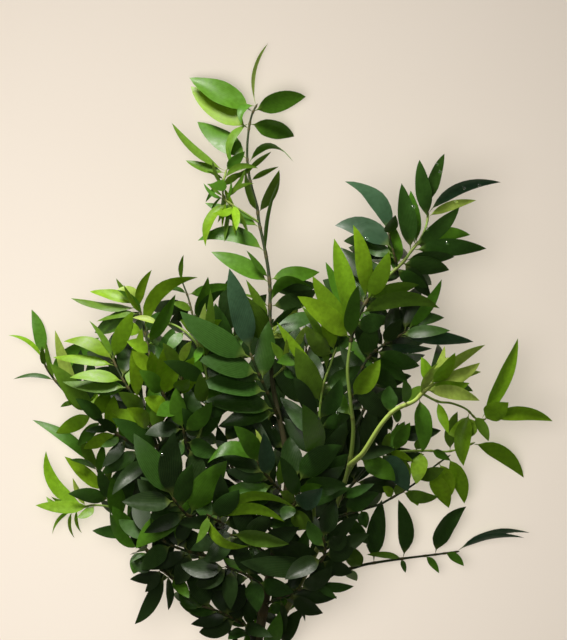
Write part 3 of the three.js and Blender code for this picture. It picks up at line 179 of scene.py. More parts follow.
# wood: what each twig grows from, its radii at both ends in millimetres, and its line.
# A line's first point, where it is short of a height, is the place on the twig it grows from.
wood = {
    "main_stem": (None, (6.2, 1.9), [
        (250, 743.35, 5.35), (251, 700, 11), (255, 660, 20), (262, 620, 31), (270, 575, 44),
        (280, 525, 58), (288, 478, 72), (285, 445, 80), (278, 412, 86), (272, 378, 88),
        (271, 345, 86)]),
    "left_limb": ("main_stem", (3.8, 2.0), [
        (256, 655), (246, 610, 38), (228, 565, 48), (205, 525, 52), (180, 490, 52),
        (155, 463, 50), (134, 446, 47)]),
    "left_low_limb": ("main_stem", (2.8, 1.7), [
        (251, 695), (240, 655, 19), (215, 620, 23), (182, 592, 26), (150, 560, 26)]),
    "left_middle_limb": ("left_limb", (2.6, 1.8), [
        (228, 565), (218, 530, 60), (203, 490, 72), (190, 455, 80), (183, 425, 86),
        (178, 402, 90)]),
    "right_limb": ("main_stem", (3.6, 1.5), [
        (253, 675), (272, 640, 28), (296, 595, 38), (318, 550, 50), (336, 508, 62),
        (348, 470, 74), (353, 432, 88), (350, 400, 98), (347, 370, 102), (350, 342, 102)]),
    "right_low_limb": ("main_stem", (2.5, 1.6), [
        (251, 705), (272, 668, 14), (298, 625, 18), (318, 592, 21), (338, 575, 22)]),
    "leader_middle": ("main_stem", (1.9, 1.5), [
        (271, 345), (270, 325, 82), (270, 305, 77), (270, 288, 72), (268, 268, 66),
        (264, 245, 59), (259, 222, 52), (257, 206, 47)]),
    "leader_top": ("leader_middle", (1.5, 1.0), [
        (257, 206), (250, 180, 39), (247, 160, 33), (247, 140, 28), (249, 122, 23),
        (252, 110, 20), (257, 100, 17)]),
    "leader_left_shoot": ("leader_middle", (1.1, 0.9), [
        (259, 222), (244, 212, 56), (230, 203, 56), (223, 196, 54), (223, 182, 49),
        (226, 168, 43)]),
    "centre_left_top_shoot": ("main_stem", (1.7, 1.1), [
        (281, 421), (272, 402, 97), (263, 382, 106), (255, 364, 111), (250, 351, 111)]),
    "leader_side_shoot": ("main_stem", (1.1, 0.9), [
        (272, 378), (281, 370, 94), (290, 360, 98), (296, 350, 98)]),
    "centre_right_shoot": ("right_limb", (2.0, 1.0), [
        (318, 550), (314, 510, 66), (314, 470, 80), (318, 435, 92), (320, 405, 98),
        (323, 385, 102), (330, 364, 104), (336, 347, 104)]),
    "right_middle_shoot": ("right_limb", (2.0, 1.6), [
        (350, 342), (354, 325, 101), (362, 308, 97), (372, 293, 92), (385, 279, 86)]),
    "right_top_shoot": ("right_middle_shoot", (1.6, 1.0), [
        (385, 279), (403, 262, 78), (412, 250, 73), (422, 237, 68), (428, 220, 62),
        (428, 203, 56)]),
    "right_inner_shoot": ("right_top_shoot", (1.1, 0.8), [
        (397, 268), (394, 256, 84), (391, 244, 84), (388, 232, 81)]),
    "right_dark_shoot": ("right_limb", (1.6, 1.0), [
        (350, 400), (357, 378, 90), (368, 358, 82), (382, 346, 75), (396, 338, 68),
        (408, 331, 62)]),
    "young_right_shoot": ("right_limb", (2.6, 1.9), [
        (349, 465), (357, 458, 88), (364, 450, 96), (380, 424, 106), (394, 409, 107),
        (412, 401, 104), (421, 393, 99), (433, 382, 92)]),
    "far_right_shoot": ("young_right_shoot", (1.3, 0.9), [
        (421, 393), (437, 401, 92), (451, 403, 84), (466, 409, 74), (477, 419, 64),
        (487, 420, 56)]),
    "right_arm_shoot": ("right_limb", (1.6, 0.9), [
        (345, 480), (355, 463, 68), (368, 455, 64), (390, 453, 58), (410, 452, 51),
        (430, 452, 43), (450, 453, 35), (466, 449, 29), (478, 444, 24)]),
    "right_dark_twig": ("right_limb", (1.5, 0.8), [
        (326, 532), (335, 520, 56), (345, 516, 50), (378, 507, 42), (389, 502, 39),
        (408, 491, 35), (421, 482, 32), (437, 468, 28), (453, 457, 24)]),
    "right_low_shoot": ("right_low_limb", (1.6, 0.9), [
        (338, 575), (354, 572, 20), (370, 568, 17), (405, 563, 12), (440, 559, 8),
        (463, 556, 6)]),
    "left_arm_shoot": ("left_limb", (1.9, 0.9), [
        (134, 446), (113, 433, 42), (95, 418, 36), (75, 405, 29), (60, 391, 23),
        (45, 373, 17), (36, 355, 13)]),
    "left_upper_shoot": ("left_limb", (1.7, 1.0), [
        (160, 468), (156, 445, 66), (148, 420, 78), (137, 400, 84), (126, 384, 84),
        (118, 370, 80), (112, 357, 75)]),
    "left_high_shoot": ("left_middle_limb", (1.7, 0.9), [
        (183, 425), (170, 405, 96), (160, 385, 97), (152, 362, 93), (147, 340, 86),
        (142, 318, 78), (138, 302, 70)]),
    "left_crown_shoot": ("left_middle_limb", (1.8, 1.1), [
        (178, 402), (181, 388, 97), (183, 374, 100), (182, 360, 100)]),
    "left_core_shoot": ("left_middle_limb", (1.4, 0.9), [
        (193, 464), (190, 450, 92), (186, 438, 101), (184, 427, 106)]),
    "arching_young_shoot": ("left_middle_limb", (1.6, 1.0), [
        (190, 455), (201, 430, 92), (207, 402, 101), (207, 375, 106), (201, 351, 107),
        (190, 335, 104), (172, 324, 97), (156, 326, 89)]),
    "left_summit_shoot": ("arching_young_shoot", (1.1, 0.8), [
        (207, 375), (200, 350, 97), (195, 325, 88), (189, 300, 78), (181, 279, 68)]),
    "left_low_shoot": ("left_low_limb", (1.7, 0.9), [
        (150, 560), (130, 535, 24), (113, 513, 20), (101, 490, 16), (93, 470, 12)]),
    "left_claw_shoot": ("left_low_shoot", (1.2, 0.8), [
        (113, 513), (104, 509, 24), (90, 508, 24), (78, 511, 22), (68, 514, 19)]),
    "left_front_shoot": ("left_middle_limb", (1.7, 1.0), [
        (208, 502), (199, 511, 80), (190, 515, 92), (181, 506, 102), (173, 495, 108)]),
    "centre_bright_shoot": ("left_middle_limb", (1.5, 0.9), [
        (217, 529), (223, 527, 76), (222, 522, 90), (214, 517, 103), (207, 512, 110)]),
    "centre_shoot": ("main_stem", (1.7, 1.0), [
        (285, 498), (280, 490, 80), (273, 482, 93), (264, 470, 102), (257, 459, 106)]),
    "centre_low_shoot": ("main_stem", (1.7, 1.0), [
        (281, 520), (290, 510, 74), (297, 499, 87), (299, 486, 96), (297, 474, 100)]),
    "low_front_shoot": ("main_stem", (1.6, 1.0), [
        (273, 562), (264, 552, 72), (252, 543, 86), (240, 536, 94), (229, 533, 98)]),
    "low_right_shoot": ("right_limb", (1.6, 1.0), [
        (307, 572), (317, 566, 66), (324, 556, 80), (325, 545, 90), (322, 534, 96)]),
    "foot_right_shoot": ("main_stem", (1.5, 0.9), [
        (264, 608), (276, 601, 52), (290, 595, 62), (304, 588, 68), (318, 583, 70)]),
    "foot_left_shoot": ("left_limb", (1.5, 0.9), [
        (251, 632), (243, 627, 44), (232, 620, 54), (217, 612, 60), (201, 607, 62)]),
    "foot_front_shoot": ("main_stem", (1.6, 1.0), [
        (267, 592), (260, 585, 62), (250, 577, 78), (238, 570, 88), (225, 565, 94)]),
    "hanging_left_shoot": ("left_low_limb", (1.5, 0.9), [
        (186, 595), (177, 586, 42), (169, 578, 54), (161, 570, 62), (154, 562, 66)]),
    "left_belly_shoot": ("left_limb", (1.7, 1.0), [
        (226, 561), (208, 557, 62), (190, 552, 74), (172, 545, 82), (156, 535, 86)]),
    "back_left_shoot": ("left_limb", (1.7, 1.0), [
        (180, 490), (166, 462, 40), (152, 430, 32), (140, 400, 28), (128, 370, 24)]),
    "back_middle_shoot": ("main_stem", (1.9, 1.0), [
        (277, 540), (256, 512, 50), (236, 478, 42), (222, 445, 36), (212, 412, 32),
        (205, 380, 28)]),
    "back_high_shoot": ("main_stem", (1.6, 1.0), [
        (285, 445), (264, 418, 70), (246, 388, 58), (234, 355, 48), (228, 325, 42)]),
    "back_centre_shoot": ("main_stem", (1.7, 1.0), [
        (288, 478), (296, 446, 66), (304, 412, 54), (308, 378, 46), (306, 346, 40)]),
    "back_right_shoot": ("right_limb", (1.7, 1.0), [
        (353, 432), (366, 404, 78), (376, 374, 62), (386, 344, 52), (394, 314, 44)]),
    "back_arm_shoot": ("right_limb", (1.7, 1.0), [
        (338, 503), (352, 486, 58), (368, 468, 46), (386, 448, 38), (400, 424, 32)]),
    "back_foot_shoot": ("right_limb", (1.6, 1.0), [
        (302, 583), (306, 555, 36), (312, 525, 30), (322, 495, 28), (332, 468, 26)]),
}

# the tone of each leaf of a shoot, from left to right by its tip
# the low shoots take the letter k, whose darkness is painted shade
leafTones = {
    "leader_middle": "fffoooofoofdpf",
    "leader_top": "fbfofpoofff",
    "leader_left_shoot": "oobfbbof",
    "centre_left_top_shoot": "ddddddud",
    "leader_side_shoot": "ofpdp",
    "centre_right_shoot": "bkdkoofoubdkdkd",
    "right_middle_shoot": "bbfbdbfdbdoo",
    "right_top_shoot": "dfddfdddddddfpdu",
    "right_inner_shoot": "uudd",
    "right_dark_shoot": "kdbkdkdkdukfu",
    "young_right_shoot": "dffobfbbfpppp",
    "far_right_shoot": "bbbobbb",
    "right_arm_shoot": "offufbbbofob",
    "right_dark_twig": "dddboboobbb",
    "right_low_shoot": "foodddffduu",
    "left_arm_shoot": "bdfooobpobdbbfbbbf",
    "left_upper_shoot": "bobbfobdobfbbbfo",
    "left_high_shoot": "obobpdbbfbbdbbfbb",
    "left_crown_shoot": "dfoopbbfb",
    "left_core_shoot": "kdfkfd",
    "arching_young_shoot": "ppdfddfopofddd",
    "left_summit_shoot": "dooofbd",
    "left_low_shoot": "fbddodfofffdfddd",
    "left_claw_shoot": "bbbbbb",
    "left_front_shoot": "kdfkdkdkdf",
    "centre_bright_shoot": "kodkdbokbb",
    "centre_shoot": "fkfdfkdpkuo",
    "centre_low_shoot": "koddkoufdkd",
    "low_front_shoot": "kkkkkokk",
    "low_right_shoot": "kkdkkkkkkk",
    "foot_right_shoot": "kdkkdkkdkkd",
    "foot_left_shoot": "ddkkkkkkk",
    "foot_front_shoot": "kkkkkkdkd",
    "hanging_left_shoot": "kdkkkkkkk",
    "left_belly_shoot": "dkdkkkkkk",
}

# the shoots at the back have only old leaves in the darkest tone, which is painted shade
backLeaves = {
    "back_left_shoot": 10, "back_middle_shoot": 12, "back_high_shoot": 10, "back_centre_shoot": 10,
    "back_right_shoot": 10, "back_arm_shoot": 8, "back_foot_shoot": 8,
}
leafTones.update((name, "k" * count) for name, count in backLeaves.items())

# a letter's upper colour and how young the leaf is, which makes it thin and clear
tones = {
    "b": (0x82AC1E, 0.80),  # painted light: brighter green as if lit, and fairly young
    "f": (0x4A7A1A, 0.45),  # this year's, still fresh
    "d": (0x2C5016, 0.10),  # old and deep green
    "k": (0x1A320F, 0.04),  # old, and darkest green as painted shade deep and low in the crown
    "u": (0x32523A, 0.05),  # old, with a dull bluish grey that is painted sheen
    "p": (0xAEC65A, 0.90),  # just unfolded
    "o": (0x5C8020, 0.55),  # olive, seen partly from below
}


# materials
def newMaterial(name):
    material = bpy.data.materials.new(name)
    material.use_nodes = True
    material.node_tree.nodes.clear()
    return material, material.node_tree


def leafMaterial():
    # fresh evergreen leaf: a leathery blade under a waxy cuticle, so broad soft
    # highlights, with light glowing through where it is young
    look = {
        "veinsAcross": 13,        # parallel veins, about 1.5 mm apart on a wide leaf
        "veinTint": 0.07,
        "mottleScale": 260,       # cloudy patches of 4 mm
        "grainScale": 2200,       # leaf cells, 0.5 mm: coarser than real, to show
        "roughness": (0.29, 0.43),
        "underRoughness": 0.55,
        "underPaleness": 0.42,
        "clearShare": (0.12, 0.42),     # how much light glows through, old and young
    }
    material, tree = newMaterial("nagi_leaf")
    colour = add(tree, "ShaderNodeAttribute", attribute_name="leafColour")
    across = number(tree, "across")
    along = number(tree, "along")
    youth = number(tree, "youth")
    upper = number(tree, "upper")
    place = add(tree, "ShaderNodeTexCoord", output=3)

    # veins run from stalk to tip, side by side
    lines = calc(tree, "MULTIPLY", across, look["veinsAcross"] * math.pi)
    ripple = calc(tree, "COSINE", lines)
    vein = ramp(tree, ripple, 0.2, 1.0, 0.0, 1.0)
    mottle = add(tree, "ShaderNodeTexNoise", {"Vector": place, "Scale": look["mottleScale"], "Detail": 3.0})
    grain = add(tree, "ShaderNodeTexNoise", {"Vector": place, "Scale": look["grainScale"], "Detail": 1.0})

    # cloudy blade, paler veins, and a yellower stalk end
    cloud = ramp(tree, mottle, 0.3, 0.7, 0.86, 1.16)
    blade = scaled(tree, colour, cloud)
    veinTint = calc(tree, "MULTIPLY", vein, look["veinTint"])
    veined = tint(tree, veinTint, blade, hexColour(0xA9BF72))
    foot = ramp(tree, along, 0.05, 0.2, 0.55, 0.0)
    top = tint(tree, foot, veined, hexColour(0x8DA048))

    # the underside is paler and duller
    under = tint(tree, look["underPaleness"], top, hexColour(0x93AC6E))
    isUpper = calc(tree, "GREATER_THAN", upper, 0.0)
    skin = tint(tree, isUpper, under, top)
    matt = ramp(tree, mottle, 0.3, 0.7, *look["roughness"])
    rough = add(tree, "ShaderNodeMix", {0: isUpper, 2: look["underRoughness"], 3: matt}, data_type="FLOAT")

    relief = calc(tree, "MULTIPLY", vein, 0.6)
    height = calc(tree, "MULTIPLY_ADD", grain, 0.5, relief)
    bump = add(tree, "ShaderNodeBump", {"Strength": 0.16, "Distance": 0.0002, "Height": height})
    cuticle = add(tree, "ShaderNodeBsdfPrincipled", {
        "Base Color": skin, "Roughness": rough, "IOR": 1.46, "Specular IOR Level": 0.3,
        "Normal": bump})
    glow = tint(tree, 0.35, veined, hexColour(0xB9DC3A))
    clear = add(tree, "ShaderNodeBsdfTranslucent", {"Color": glow, "Normal": bump})
    share = ramp(tree, youth, 0.0, 1.0, *look["clearShare"])
    both = add(tree, "ShaderNodeMixShader", [share, cuticle, clear])
    add(tree, "ShaderNodeOutputMaterial", [both])
    return material


def barkMaterial(name, woody, green, roughness, depth):
    # living bark: brown and ribbed where it is old, smooth green where it is young
    material, tree = newMaterial(name)
    age = number(tree, "age")
    joint = number(tree, "joint")
    around = number(tree, "aroundTwig")
    down = number(tree, "downTwig")
    place = add(tree, "ShaderNodeTexCoord", output=3)
    ribs = add(tree, "ShaderNodeCombineXYZ", [around, down])
    # fibres run down the twig: 24 round it, and each about 3.5 mm long
    fibre = add(tree, "ShaderNodeTexNoise",
                {"Vector": ribs, "Scale": 24.0, "Detail": 4.0, "Roughness": 0.6})
    mottle = add(tree, "ShaderNodeTexNoise", {"Vector": place, "Scale": 140.0, "Detail": 3.0})
    old = tint(tree, fibre, hexColour(woody[0]), hexColour(woody[1]))
    young = tint(tree, mottle, hexColour(green[0]), hexColour(green[1]))
    drift = calc(tree, "MULTIPLY_ADD", mottle, 0.5, -0.25)
    ripe = calc(tree, "ADD", age, drift, use_clamp=True)
    skin = tint(tree, ripe, young, old)
    ring = calc(tree, "MULTIPLY", joint, 0.45)
    ringed = tint(tree, ring, skin, hexColour(0x6B5A34))
    bump = add(tree, "ShaderNodeBump", {"Strength": 0.5, "Distance": depth, "Height": fibre})
    surface = add(tree, "ShaderNodeBsdfPrincipled", {
        "Base Color": ringed, "Roughness": roughness, "IOR": 1.45, "Specular IOR Level": 0.3,
        "Normal": bump})
    add(tree, "ShaderNodeOutputMaterial", [surface])
    return material


def heartwoodMaterial(centre):
    # fresh sapwood, sawn across: pale, with a few rings, a darker pith and green next to the bark
    look = {
        "ringWidth": 1.4 * mm, "wobble": 0.8 * mm,
        "bark": (4.8 * mm, 5.8 * mm), "pith": (0.6 * mm, 0.9 * mm),
    }
    material, tree = newMaterial("cut_sapwood")
    place = add(tree, "ShaderNodeTexCoord", output=3)
    offset = vector(tree, "SUBTRACT", place, centre)
    reach = add(tree, "ShaderNodeVectorMath", [offset], 1, operation="LENGTH")
    wobble = add(tree, "ShaderNodeTexNoise", {"Vector": place, "Scale": 900.0})
    bent = calc(tree, "MULTIPLY_ADD", wobble, look["wobble"], reach)
    turns = calc(tree, "MULTIPLY", bent, 2 * math.pi / look["ringWidth"])
    rings = calc(tree, "SINE", turns)
    shade = ramp(tree, rings, -1.0, 1.0, 0.0, 0.55)
    sap = tint(tree, shade, hexColour(0xE3D6A6), hexColour(0xC4AE74))
    nearBark = ramp(tree, reach, *look["bark"], 0.0, 1.0)
    edge = tint(tree, nearBark, sap, hexColour(0x6E7A3C))
    pith = ramp(tree, reach, *look["pith"], 1.0, 0.0)
    face = tint(tree, pith, edge, hexColour(0x7C5B38))
    surface = add(tree, "ShaderNodeBsdfPrincipled", {"Base Color": face, "Roughness": 0.72, "IOR": 1.5})
    add(tree, "ShaderNodeOutputMaterial", [surface])
    return material


# twigs
woodLook = {
    "sides": 12,
    "ringEvery": 1.3 * mm,
    "jointSwelling": 0.35 * mm,
    "jointLength": 1.6 * mm,
    "tipLength": 4 * mm,
    "woodyRadius": (1.3 * mm, 3.2 * mm),   # from green to brown
    "roughBark": 0.25 * mm,
    "barkStretch": 12,
    "tipShare": 0.3,            # how thick the very tip stays
    "footFacing": -0.9,         # y of the sawn end's normal, at most
}


def smoothLine(points, steps=16):
    # a smooth line through the drawn points
    ends = [points[0] * 2 - points[1], *points, points[-1] * 2 - points[-2]]
    line = []
    for a, b, c, d in zip(ends, ends[1:], ends[2:], ends[3:]):
        for step in range(steps):
            t = step / steps
            straight = b * 2 + (c - a) * t
            bent = (a * 2 - b * 5 + c * 4 - d) * t ** 2 + (b * 3 - a - c * 3 + d) * t ** 3
            line.append((straight + bent) / 2)
    return line + [points[-1]]


twigLines = {}
continued = set()
for name, (parent, radii, drawn) in wood.items():
    points = [onSheet(*point) for point in drawn if len(point) == 3]
    if parent:
        start = onSheet(*drawn[0], 0)
        near = min(twigLines[parent], key=lambda p: math.hypot(p.x - start.x, p.y - start.y))
        points.insert(0, near)
        if drawn[0] == wood[parent][2][-1][:2]:
            continued.add(parent)
    twigLines[name] = smoothLine(points)


def woodTree():
    # a round tube along the line, as thick as its radius says, with uneven bark
    tree, given = newTree("twig", {
        "Sides": 12, "Ring every": 0.001, "Rough bark": 0.0, "Bark": barks["stem"]})
    line = add(tree, "GeometryNodeMeshToCurve", [given["Geometry"]])
    even = add(tree, "GeometryNodeResampleCurve", {0: line, "Length": given["Ring every"]}, mode="LENGTH")
    circle = add(tree, "GeometryNodeCurvePrimitiveCircle", {"Resolution": given["Sides"], "Radius": 1.0})
    turn = add(tree, "GeometryNodeSplineParameter")
    profile = marked(tree, circle, "aroundTwig", turn)
    tube = add(tree, "GeometryNodeCurveToMesh", {
        "Curve": even, "Profile Curve": profile, "Scale": carried(tree, "twigRadius"), "Fill Caps": True})
    place = add(tree, "GeometryNodeInputPosition")
    noise = add(tree, "ShaderNodeTexNoise", {"Vector": place, "Scale": 420.0, "Detail": 2.0})
    level = calc(tree, "SUBTRACT", noise, 0.5)
    lift = calc(tree, "MULTIPLY", level, given["Rough bark"])
    normal = add(tree, "GeometryNodeInputNormal")
    offset = scaled(tree, normal, lift)
    lifted = vector(tree, "ADD", place, offset)
    # the stem's foot is a little flat where it lies
    onFloor = vector(tree, "MAXIMUM", lifted, (-farAway, -farAway, 0.0))
    rough = add(tree, "GeometryNodeSetPosition", {0: tube, "Position": onFloor})
    whole = add(tree, "GeometryNodeRealizeInstances", [rough])
    smooth = add(tree, "GeometryNodeSetShadeSmooth", {0: whole, "Shade Smooth": True}, domain="FACE")
    done = add(tree, "GeometryNodeSetMaterial", {0: smooth, "Material": given["Bark"]})
    add(tree, "NodeGroupOutput", [done])
    return tree


# olive-brown stem bark, and smooth twigs that are darker the older they are
barks = {
    "stem": barkMaterial("stem_bark", (0x38341F, 0x625B3E), (0x232B14, 0x36421F), 0.72, 0.0006),
    "green": barkMaterial("green_twig", (0x14160A, 0x292A15), (0x1A280C, 0x2C3D16), 0.62, 0.0003),
    "pale": barkMaterial("pale_twig", (0x4C5228, 0x72743F), (0x6A8A34, 0x8BA84C), 0.52, 0.0003),
    "young": barkMaterial("young_twig", (0x8A9C48, 0x9DB055), (0x9DBB4C, 0xB6CF66), 0.5, 0.0002),
}


# leaves
leafLook = {
    "sections": 11,
    "corners": 8,
    "thickness": 0.36 * mm,
    "stalkThickness": 1.0 * mm,
    "folds": (0.04, 0.26),      # how far the halves rise beside the middle
    "cups": (-0.22, 0.16),
    "waves": (0.0, 0.10),
    "phases": (0, 2 * math.pi),
    "twists": (-0.30, 0.30),
    "shades": (0.88, 1.14),
    "warmths": (-0.06, 0.06),
    "hooks": (-0.45, 0.45),     # how far the tip swings aside, in half widths
    "waveCount": 13.0,          # radians of wave from stalk to tip
    "untwisted": 0.45,          # where along the blade the twist is none
    "hookPower": 5,
    "floorGap": 0.1 * mm,
    "weld": 0.001 * mm,
    "sharpEdge": 1.2,           # radians, over which an edge is shaded sharp
    "outline": [(0.0, 0.0), (0.02, 0.055), (0.08, 0.06), (0.14, 0.31), (0.22, 0.68), (0.33, 0.93),
                (0.45, 1.0), (0.58, 0.95), (0.72, 0.77), (0.84, 0.51), (0.92, 0.29), (0.97, 0.12),
                (1.0, 0.0)],
}
# from its tip, a CAD leaf has two or three sections: how far along from the stalk each lies,
# and its share of the leaf's width
cadLeaf = {
    "sections": {3: [(0.64, 0.793), (0.3, 0.914), (0.07, None)], 2: [(0.45, 0.997), (0.07, None)]},
    "sameCorner": 0.01 * mm,
    "sharpTip": 0.82,           # how close a tip's three edges are to one direction
    "leastEdge": 3 * mm,
    "stalk": 1.2 * mm,          # a section narrower than this is the stalk
}


def readLeaves(name):
    # a CAD leaf is a run of three-cornered sections that ends in a point
    shape = bmesh.new()
    shape.from_mesh(frame["nodes"][name].data)
    bmesh.ops.remove_doubles(shape, verts=shape.verts, dist=cadLeaf["sameCorner"])
    shape.verts.index_update()
    found = []
    for tip in shape.verts:
        ring = [edge.other_vert(tip) for edge in tip.link_edges]
        ways = [(corner.co - tip.co).normalized() for corner in ring]
        middle = sum(ways, Vector()).normalized()
        if len(ring) != 3 or min(way.dot(middle) for way in ways) < cadLeaf["sharpTip"]:
            continue
        if min(edge.calc_length() for edge in tip.link_edges) < cadLeaf["leastEdge"]:
            continue
        seen, sections = {tip}, []
        while len(ring) == 3 and len(sections) < 3:
            # the two corners furthest apart are the leaf's edges, and the third is its ridge
            turns = [ring[i:] + ring[:i] for i in range(3)]
            left, right, ridge = max(turns, key=lambda turn: (turn[0].co - turn[1].co).length)
            width = (left.co - right.co).length
            centre = (left.co + right.co) / 2
            sections.append((centre, width, (ridge.co - centre).normalized()))
            if width < cadLeaf["stalk"]:
                break
            seen |= set(ring)
            beside = {edge.other_vert(corner) for corner in ring for edge in corner.link_edges}
            ring = sorted(beside - seen, key=lambda corner: corner.index)
        if len(sections) in cadLeaf["sections"]:
            found.append(leafFromSections(tip.co.copy(), sections))
    shape.free()
    return sorted(found, key=lambda leaf: [round(leaf["tip"][axis] / mm, 1) for axis in (0, 1)])


def leafFromSections(tip, sections):
    # the stalk and the bend of the curved line that the sections lie on, as the best fit
    known = cadLeaf["sections"][len(sections)]
    shares = [share for share, _ in known]
    factors = [[(1 - u) ** 2, 2 * u * (1 - u)] for u in shares]
    targets = [section[0] - tip * u ** 2 for section, u in zip(sections, shares)]
    fit = np.linalg.lstsq(np.array(factors), np.array(targets), rcond=None)[0]
    base, bend = (Vector(row) for row in fit)
    widest = len(sections) - 2
    share, widthShare = known[widest]
    _, width, face = sections[widest]
    tangent = ((bend - base) * (1 - share) + (tip - bend) * share).normalized()
    return {
        "base": base, "bend": bend, "tip": tip, "edge": face.cross(tangent).normalized(),
        "width": width / widthShare,
    }


def leafTree():
    # a point for each leaf becomes a grid, which is wrapped round into a thin blade
    tree, given = newTree("leaf", {
        "Sections": 12, "Corners": 8, "Thickness": 0.0004, "Stalk thickness": 0.001, "Skin": leafSkin})
    rows = calc(tree, "ADD", given["Sections"], 1.0)
    columns = calc(tree, "ADD", given["Corners"], 1.0)
    grid = add(tree, "GeometryNodeMeshGrid",
               {"Size X": 1.0, "Size Y": 1.0, "Vertices X": rows, "Vertices Y": columns})
    flat = vector(tree, "ADD", add(tree, "GeometryNodeInputPosition"), (0.5, 0.5, 0.0))
    numbered = marked(tree, grid, "gridPlace", flat, "FLOAT_VECTOR")
    copies = add(tree, "GeometryNodeInstanceOnPoints", {"Points": given["Geometry"], "Instance": numbered})
    blades = add(tree, "GeometryNodeRealizeInstances", [copies])

    def between(start, end):
        return add(tree, "ShaderNodeMix", {0: along, 4: start, 5: end}, 1, data_type="VECTOR")

    along = add(tree, "ShaderNodeSeparateXYZ", [carried(tree, "gridPlace", "FLOAT_VECTOR")])
    turn = along.node.outputs[1]
    # across runs from one edge over the top to the other, and back below
    wide = calc(tree, "MULTIPLY", turn, 4.0)
    there = calc(tree, "PINGPONG", wide, 2.0)
    across = calc(tree, "SUBTRACT", there, 1.0)
    half = calc(tree, "SUBTRACT", 0.5, turn)
    side = calc(tree, "SIGN", half)
    square = calc(tree, "MULTIPLY", across, across)
    fromEdge = calc(tree, "SUBTRACT", 1.0, square)
    upper = calc(tree, "MULTIPLY", side, fromEdge)

    # the bent line from stalk to tip, and its direction
    base, bend, tip = (carried(tree, name, "FLOAT_VECTOR") for name in ("base", "bend", "tip"))
    first = between(base, bend)
    second = between(bend, tip)
    centre = between(first, second)
    step = vector(tree, "SUBTRACT", second, first)
    tangent = vector(tree, "NORMALIZE", step)
    edge = carried(tree, "edge", "FLOAT_VECTOR")
    fromMiddle = calc(tree, "SUBTRACT", along, leafLook["untwisted"])
    twist = calc(tree, "MULTIPLY", fromMiddle, carried(tree, "twist"))
    turned = add(tree, "ShaderNodeVectorRotate", {"Vector": edge, "Axis": tangent, "Angle": twist})
    lean = add(tree, "ShaderNodeVectorMath", [turned, tangent], 1, operation="DOT_PRODUCT")
    leaning = scaled(tree, tangent, lean)
    upright = vector(tree, "SUBTRACT", turned, leaning)
    sideways = vector(tree, "NORMALIZE", upright)
    face = vector(tree, "CROSS_PRODUCT", tangent, sideways)

    # the outline, with a stalk at its foot and a drawn-out tip
    outline = add(tree, "ShaderNodeFloatCurve", {"Value": along})
    curve = outline.node.mapping.curves[0]
    for place, width in leafLook["outline"][1:-1]:
        curve.points.new(place, width)
    curve.points[0].location = leafLook["outline"][0]
    curve.points[-1].location = leafLook["outline"][-1]
    outline.node.mapping.update()
    reach = calc(tree, "MULTIPLY", outline, carried(tree, "halfWidth"))
    stalk = ramp(tree, along, 0.03, 0.16, 1.0, 0.0)
    thick = add(tree, "ShaderNodeMix", {0: stalk, 2: given["Thickness"], 3: given["Stalk thickness"]}, 0,
                data_type="FLOAT")
    opening = ramp(tree, along, 0.0, 0.03, 0.0, 1.0)
    ending = ramp(tree, along, 0.9, 1.0, 1.0, 0.0)
    closing = calc(tree, "MULTIPLY", opening, ending)
    halfThick = calc(tree, "MULTIPLY", thick, closing)
    body = calc(tree, "MULTIPLY", halfThick, 0.5)

    # relief: halves folded up from the middle, a cupped face and a wavy edge
    sideShare = calc(tree, "ABSOLUTE", across)
    fold = calc(tree, "MULTIPLY", sideShare, carried(tree, "fold"))
    cup = calc(tree, "MULTIPLY", square, carried(tree, "cup"))
    waveAt = calc(tree, "MULTIPLY_ADD", along, leafLook["waveCount"], carried(tree, "phase"))
    swing = calc(tree, "SINE", waveAt)
    edgeSwing = calc(tree, "MULTIPLY", swing, across)
    wave = calc(tree, "MULTIPLY", edgeSwing, carried(tree, "wave"))
    bent = calc(tree, "ADD", fold, cup)
    relief = calc(tree, "ADD", bent, wave)
    rise = calc(tree, "MULTIPLY", relief, reach)
    height = calc(tree, "MULTIPLY_ADD", upper, body, rise)
    late = calc(tree, "POWER", along, float(leafLook["hookPower"]))
    swung = calc(tree, "MULTIPLY", late, carried(tree, "hook"))
    aside = calc(tree, "MULTIPLY", swung, carried(tree, "halfWidth"))
    out = calc(tree, "MULTIPLY_ADD", across, reach, aside)
    outwards = scaled(tree, sideways, out)
    upwards = scaled(tree, face, height)
    beside = vector(tree, "ADD", centre, outwards)
    place = vector(tree, "ADD", beside, upwards)
    # no lower than the surface that the branch lies on
    clearOfFloor = vector(tree, "MAXIMUM", place, (-farAway, -farAway, leafLook["floorGap"]))
    shaped = add(tree, "GeometryNodeSetPosition", {0: blades, "Position": clearOfFloor})
    for name, value in (("along", along), ("across", across), ("upper", upper)):
        shaped = marked(tree, shaped, name, value)
    merged = add(tree, "GeometryNodeMergeByDistance", {0: shaped, "Distance": leafLook["weld"]})
    # both sides are cut along the same diagonals, or the underside would show through at the edges
    closed = add(tree, "GeometryNodeTriangulate", [merged], quad_method="SHORTEST_DIAGONAL")
    corner = add(tree, "GeometryNodeInputMeshEdgeAngle")
    sharp = add(tree, "FunctionNodeCompare", [corner, leafLook["sharpEdge"]], operation="GREATER_THAN")
    smooth = add(tree, "GeometryNodeSetShadeSmooth", {0: closed, "Shade Smooth": True}, domain="FACE")
    crisp = add(tree, "GeometryNodeSetShadeSmooth", {0: smooth, "Selection": sharp, "Shade Smooth": False},
                domain="EDGE")
    done = add(tree, "GeometryNodeSetMaterial", {0: crisp, "Material": given["Skin"]})
    add(tree, "NodeGroupOutput", [done])
    return tree


